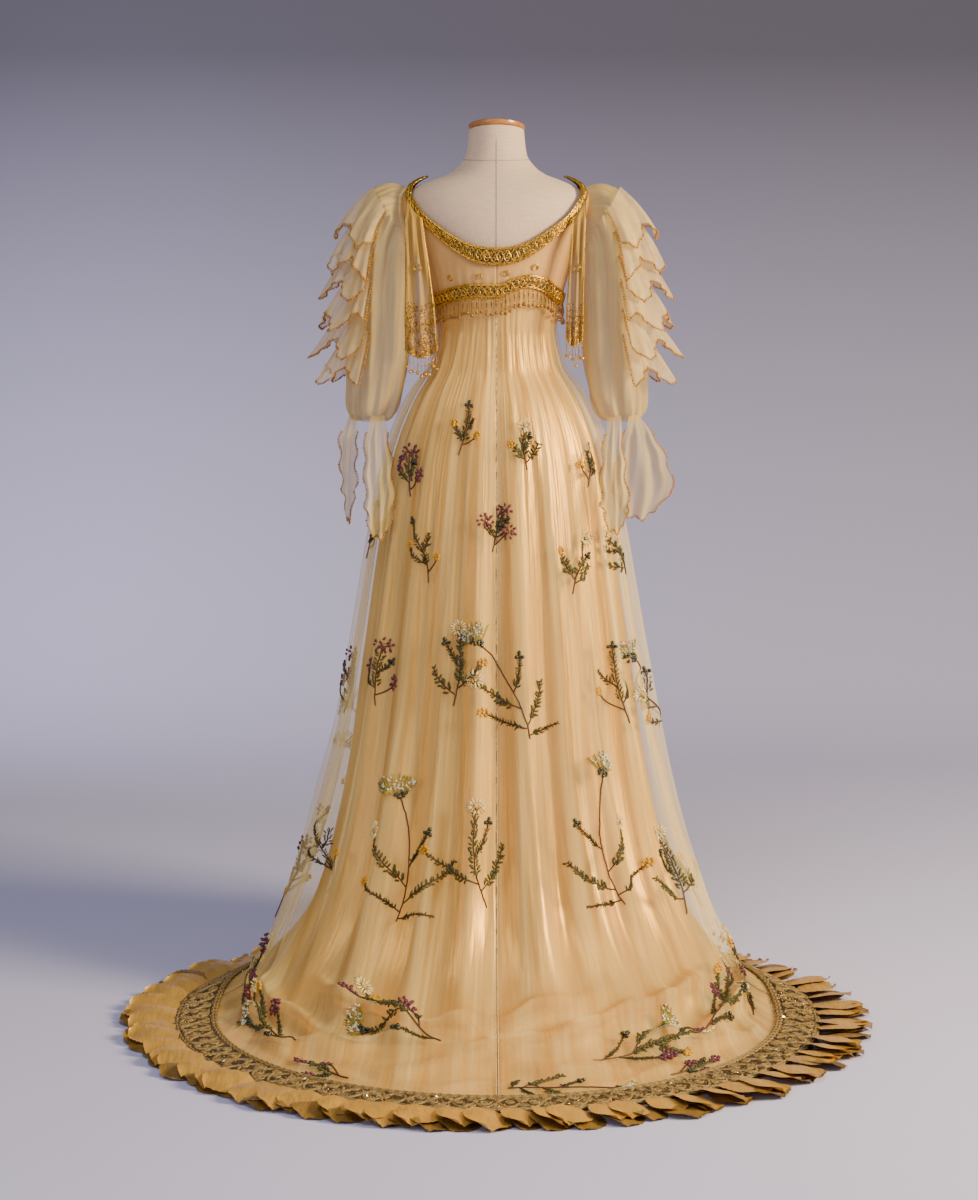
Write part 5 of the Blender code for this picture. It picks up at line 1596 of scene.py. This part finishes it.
class DRESS_OT_hem_band(bpy.types.Operator):
    """Encrusted band round the hem."""

    bl_idname = "dress.hem_band"
    bl_label = "Hem band"

    def execute(self, context):
        ground = silk_thread("taupe_ground", linear("#33281A"))
        beads = glass_bead("bronze_bead", linear("#D8B06A"), 0.8, 0.2)
        cord = silk_thread("taupe_gold_cord", linear("#8A7144"))
        goldwork(GOLDWORK["hem_band"], ground, cord, beads)
        return {"FINISHED"}


class DRESS_OT_petals(bpy.types.Operator):
    """Two rings of pinked satin petals that lie on the floor outside the hem."""

    bl_idname = "dress.petals"
    bl_label = "Satin petals"

    def execute(self, context):
        sizes, rng = context.scene.dress_beadwork, np.random.default_rng(5)
        face = context.scene.dress_colours.petal
        # The lower ring's satin is a darker copy of the petals' colour: painted shade under the upper ring.
        satins = (
            duchesse_satin("pinked_satin_reverse", [c * PETAL_PAINTED_SHADE for c in face], "Object", 0.2, 0.003, (24, 90)),
            duchesse_satin("pinked_satin_face", face, "Object", 0.35, 0.003, (30, 90)),
        )
        rings = (("petals_lower", 0.0, 0.0015, 0.0), ("petals_upper", 0.5, 0.010, -0.05))
        for ring, (node, offset, height, tilt) in enumerate(rings):
            shape = petal_template("petal", sizes.petal_length, PETAL_WIDTH, 0.004 + 0.002 * ring)
            angles = even_angles(lambda a: skirt_surface(a, a * 0 + LAST_ROW), sizes.petals, offset)
            start = PETAL_START_FRONT + (PETAL_START_BACK - PETAL_START_FRONT) * train_share(angles)
            spots, outwards = hem_place(angles, start - 0.006 * ring, height)
            swing = np.radians(rng.uniform(-20, 20, len(angles)))
            sideways = np.cross(outwards, (0, 0, 1.0))
            along = outwards * np.cos(swing)[:, None] + sideways * np.sin(swing)[:, None]
            along[:, 2] += tilt + rng.uniform(-0.01, 0.05, len(angles))
            up = np.tile((0.0, 0.0, 1.0), (len(angles), 1)) + sideways * rng.uniform(-0.36, -0.06, (len(angles), 1))
            turns = turns_to(along, up)
            made = sewn(node + "_satin", shape, spots, turns, 1.0, satins[ring], 1.0, 0.14, seed=2 + ring)
            self.above_floor(made)
            settled(made, [node])
            drop(shape)
        return {"FINISHED"}

    def above_floor(self, made):
        """Lets what would reach under the floor lie on it."""
        points = np.empty(len(made.data.vertices) * 3)
        made.data.vertices.foreach_get("co", points)
        points = points.reshape(-1, 3)
        points[:, 2] = np.maximum(points[:, 2], 0.0004)
        made.data.vertices.foreach_set("co", points.ravel())
        made.data.update()


class DRESS_OT_sleeves(bpy.types.Operator):
    """Chiffon sleeves with their flounces and picot edging."""

    bl_idname = "dress.sleeves"
    bl_label = "Sleeves and flounces"

    def execute(self, context):
        colours, sizes = context.scene.dress_colours, context.scene.dress_cloth
        chiffon = sheer_cloth("silk_chiffon", colours.chiffon, 0.45, 0.76, 40, 3)
        tulle = sheer_cloth("peach_silk_tulle", colours.flounce, 0.34, 0.60, 30, 12)
        picots = []
        for name, side in (("left", 1), ("right", -1)):
            turns = side_turns(side, np.arange(140) * 360 / 140)
            turn, row = np.meshgrid(turns, np.linspace(0, SLEEVE_END, 70))
            free = smooth(row) * smooth((SLEEVE_END + 0.6 - row) / 0.8)
            around = np.radians(turn)
            ripple = 1.5 * np.sin(around * 9 + 0.45 * row) + 0.7 * np.sin(around * 17 - 0.8 * row + 1)
            ripple += 0.9 * np.sin(around * 5 + 0.7 * row + side) + 0.5 * np.sin(row * 4.2 + 2 * np.sin(around * 3))
            gather = 0.8 * np.sin(around * 34 + row) * smooth((2.2 - row) / 1.6) * smooth(row * 3)
            puff = 1.6 * np.sin(np.pi * np.clip(row, 0, 1)) * (np.cos(around) > 0) * np.cos(around)
            grid = sleeve_surface(side, turn, row, sizes.sleeve_ripple * (free * ripple + gather + puff))
            grid[..., 2] -= SLEEVE_HEAD_DROP * np.exp(-(((row - 1.0) / 0.45) ** 2)) * np.clip(np.cos(around), 0, 1)
            made = cloth("chiffon_sleeve_" + name, grid, chiffon, closed=True)
            settled(made, ["sleeve_" + name])
            declare(grid, closed=True)
            for number, flounce in enumerate(FLOUNCES, 1):
                grid = flounce_grid(side, flounce)
                made = cloth(f"tulle_flounce_{name}_{number}", grid, tulle)
                settled(made, [f"flounce_{name}_{number}"])
                declare(grid)
                picots += edge_picots(grid)
        picot_edging("picot_edging", "picot_knots", picots, 0.0010)
        return {"FINISHED"}


class DRESS_OT_drapes(bpy.types.Operator):
    """Embroidered shoulder drapes with their beaded ends."""

    bl_idname = "dress.drapes"
    bl_label = "Shoulder drapes"

    def execute(self, context):
        tulle = sheer_cloth("embroidered_silk_tulle", linear("#BC954C"), 0.45, 0.70, 60, 4)
        for name, side, sections in (("left", 1, DRAPE_LEFT), ("right", -1, DRAPE_RIGHT)):
            grid = strip_grid(shoulder_seat(side), sections, side, DRAPE_BOW, 25)
            point = 1 - np.linspace(-1, 1, 25) ** 2
            grid[..., 2] -= DRAPE_POINT * smooth((np.linspace(0, 1, STRIP_ROWS) - 0.6) / 0.4)[:, None] * point
            made = cloth("tulle_drape_" + name, grid, tulle, context.scene.dress_cloth.drape_wall)
            settled(made, ["shoulder_drape_" + name])
            declare(grid)
            self.end_work(name, grid)
        return {"FINISHED"}

    def end_work(self, name, grid):
        """Gold beads that crowd towards the drape's end, a worked ring, and a tassel fringe."""
        beads, rng = gilt_beads(), np.random.default_rng(21 if name == "left" else 22)
        rows, columns = grid.shape[:2]
        count = 900 if name == "left" else 560
        depth = 1 - rng.uniform(0, 1, count) ** 1.8 * 0.28
        row, column = depth * (rows - 1), rng.uniform(0, columns - 1, count)
        points = np.array([self.between(grid, r, c) for r, c in zip(row, column)])
        points[:, 1] += 0.0012
        out = np.tile((0.0, 1.0, 0.0), (count, 1))
        heading = rng.normal(size=(count, 3)) * (1, 0.2, 1)
        bead = lens("bead", 1.1, 0.8, 0.8, 0)
        made = [sewn("drape_beads_" + name, bead, points, turns_to(heading, out), 1.0, beads, 0.0034, 0.35)]
        turn = np.linspace(0, 4 * np.pi, 36)
        centre = self.between(grid, (rows - 1) * 0.52, (columns - 1) * 0.5)
        radius = 0.0075 * (1 - 0.4 * turn / (4 * np.pi))
        rings = [place(centre[0] + radius * np.cos(turn), centre[1] + 0.0025, centre[2] + radius * np.sin(turn))]
        for edge in (1, columns - 2):
            rings.append(grid[:, edge] + (0, 0.0010, 0))
        made.append(corded("drape_cords_" + name, rings, 0.0007, gilt_thread(), 4))
        tassels = 9 if name == "left" else 6
        across = np.linspace(0.04, 0.96, tassels) * (columns - 1)
        top = np.array([self.between(grid, rows - 1, c) for c in across])
        down = np.tile((0.0, 0.0, -1.0), (tassels, 1))
        longest = DRAPE_FRINGE_LENGTH * rng.uniform(0.6, 0.95, tassels)
        ends = top + down * longest[:, None]
        bugle, ball = lens("bugle", 0.018, 0.0022, 0.0022), lens("ball", 1, 1, 1, 2)
        sideways = np.tile((0.0, 1.0, 0.0), (tassels, 1))
        strings = corded("drape_threads_" + name, [np.stack(p) for p in zip(top, ends)], 0.0006, gilt_thread(), 3)
        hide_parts("drape_fringe_" + name)
        made.append(strings)
        made.append(sewn("drape_bugles_" + name, bugle, top + down * 0.014, turns_to(down, sideways), 1.0, beads))
        made.append(sewn("drape_balls_" + name, ball, ends, turns_to(down, sideways), 1.0, beads, 0.0072))
        for piece in made:
            settled(piece)
        drop(bead, bugle, ball)

    def between(self, grid, row, column):
        """A point of a grid between its rows and columns."""
        r, c = min(int(row), len(grid) - 2), min(int(column), grid.shape[1] - 2)
        a, b = row - r, column - c
        upper = grid[r, c] * (1 - b) + grid[r, c + 1] * b
        return upper * (1 - a) + (grid[r + 1, c] * (1 - b) + grid[r + 1, c + 1] * b) * a


class DRESS_OT_ties(bpy.types.Operator):
    """Chiffon ties knotted at the elbows."""

    bl_idname = "dress.ties"
    bl_label = "Sleeve ties"

    def execute(self, context):
        chiffon = sheer_cloth("tie_chiffon", context.scene.dress_colours.chiffon, 0.38, 0.74, 50, 5)
        picots = []
        for tie in TIES:
            turns = side_turns(-tie.side, np.linspace(tie.first, tie.last, 9))
            seat = sleeve_surface(tie.side, turns, np.full(9, CUFF_RING), TIE_SEAT)
            grid = self.scalloped(strip_grid(seat, tie.sections, tie.side, TIE_BOW, 33))
            made = cloth("chiffon_" + tie.name, grid, chiffon)
            settled(made, [tie.name])
            declare(grid)
            picots += edge_picots(grid, TIE_PICOTS_FROM)
        picot_edging("tie_picots", "tie_knots", picots, 0.0009)
        return {"FINISHED"}

    def scalloped(self, grid):
        """Rounds the strip's end and waves its sides."""
        rows, columns = grid.shape[:2]
        t = np.linspace(0, 1, rows)[:, None]
        across = np.linspace(-1, 1, columns)[None, :]
        made = grid.copy()
        made[..., 2] += 0.022 * smooth((t - 0.7) / 0.3) * across**2
        made[..., 2] -= 0.004 * np.sin(across * 9) * smooth((t - 0.7) / 0.3)
        made[..., 0] += 0.0025 * np.sin(t * 26) * across**2 * smooth(t * 2)
        return made


# The studio: where it stands and looks, in metres and degrees. A light's power is a setting of the stage.
Light = namedtuple("Light", "name at towards size tint")
LIGHTS = named_rows(
    Light,
    ("key", (-3.2, 1.5, 2.1), (0, 0.1, 0.8), 1.3, "#FFE9BC"),
    ("fill", (2.4, 4.4, 2.0), (0, 0.1, 0.8), 1.8, "#FFF4E6"),
    ("floor", (0.4, 2.8, 3.9), (0.2, 2.0, 0), 2.0, "#FFFFFF"),
    ("pool", (1.4, -1.9, 1.5), (1.1, -3.5, 1.0), 0.7, "#F6F4FF"),
)
AIR_TINT = "#E2E0E8"
AIR_STRENGTH = 0.26
CAMERA_AT = (0.013, 4.6, 1.30)
CAMERA_TILT = 7.63
CAMERA_LENS = 76.6
SWEEP_FOOT = -1.9
SWEEP_RADIUS = 1.6


class DRESS_OT_studio(bpy.types.Operator):
    """Backdrop, lights and camera."""

    bl_idname = "dress.studio"
    bl_label = "Studio"

    def execute(self, context):
        look = context.scene.dress_stage
        profile = [(9.0, 0.0), (0.5, 0.0), (SWEEP_FOOT, 0.0)]
        for a in np.linspace(0.1, math.pi / 2, 16):
            profile.append((SWEEP_FOOT - SWEEP_RADIUS * math.sin(a), SWEEP_RADIUS - SWEEP_RADIUS * math.cos(a)))
        profile.append((SWEEP_FOOT - SWEEP_RADIUS, 7.0))
        grid = np.array([[(x, y, z) for x in np.linspace(8, -8, 9)] for y, z in profile])
        # The backdrop's paper carries painted shade, darker towards the top and lighter on the floor.
        sweep = cloth("studio_backdrop", grid[:, ::-1], graded_paper("backdrop_paper", look.backdrop))
        for light in LIGHTS:
            lamp = bpy.data.lights.new(light.name, "AREA")
            lamp.energy, lamp.size = getattr(look, light.name + "_power"), light.size
            lamp.color = linear(light.tint)
            towards = Vector(light.towards) - Vector(light.at)
            self.stood(light.name, lamp, light.at, towards.to_track_quat("-Z", "Y").to_euler())
        world = bpy.data.worlds.new("studio_air")
        world.use_nodes = True
        world.node_tree.nodes["Background"].inputs["Color"].default_value = colour(linear(AIR_TINT))
        world.node_tree.nodes["Background"].inputs["Strength"].default_value = AIR_STRENGTH
        context.scene.world = world
        camera = bpy.data.cameras.new("camera")
        camera.sensor_fit = "VERTICAL"
        camera.sensor_height = 36.0
        camera.lens = CAMERA_LENS
        camera.clip_end = 50
        turn = (math.radians(90 - CAMERA_TILT), 0, math.radians(180))
        context.scene.camera = self.stood("camera", camera, CAMERA_AT, turn)
        return {"FINISHED"}

    def stood(self, name, data, at, turn):
        """Stands a light or the camera in its place."""
        made = new_object(name, data)
        made.location, made.rotation_euler = at, turn
        return made


GROUPS = (
    ("dress_cloth", DressCloth),
    ("dress_colours", DressColours),
    ("dress_beadwork", DressBeadwork),
    ("dress_stage", DressStage),
)
OPERATORS = (
    DRESS_OT_dress_form,
    DRESS_OT_bodice,
    DRESS_OT_underskirt,
    DRESS_OT_overskirt,
    DRESS_OT_sprigs,
    DRESS_OT_hem_band,
    DRESS_OT_petals,
    DRESS_OT_gold_bands,
    DRESS_OT_sleeves,
    DRESS_OT_drapes,
    DRESS_OT_ties,
    DRESS_OT_studio,
)


class DRESS_PT_sidebar(bpy.types.Panel):
    """Sizes, colours and the steps that make the dress."""

    bl_idname = "DRESS_PT_sidebar"
    bl_label = "Evening Dress"
    bl_space_type = "VIEW_3D"
    bl_region_type = "UI"
    bl_category = "Evening Dress"

    def draw(self, context):
        for name, group in GROUPS:
            box = self.layout.box()
            for field in group.__annotations__:
                box.prop(getattr(context.scene, name), field)
        for operator in OPERATORS:
            self.layout.operator(operator.bl_idname)


def register():
    for name, group in GROUPS:
        bpy.utils.register_class(group)
        setattr(bpy.types.Scene, name, PointerProperty(type=group))
    for made in (*OPERATORS, DRESS_PT_sidebar):
        bpy.utils.register_class(made)


def unregister():
    for made in reversed((*OPERATORS, DRESS_PT_sidebar)):
        bpy.utils.unregister_class(made)
    for name, group in reversed(GROUPS):
        delattr(bpy.types.Scene, name)
        bpy.utils.unregister_class(group)


def main():
    """Registers the add-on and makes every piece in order."""
    register()
    for operator in OPERATORS:
        group, name = operator.bl_idname.split(".")
        getattr(getattr(bpy.ops, group), name)()
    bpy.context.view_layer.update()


if __name__ == "__main__":
    main()
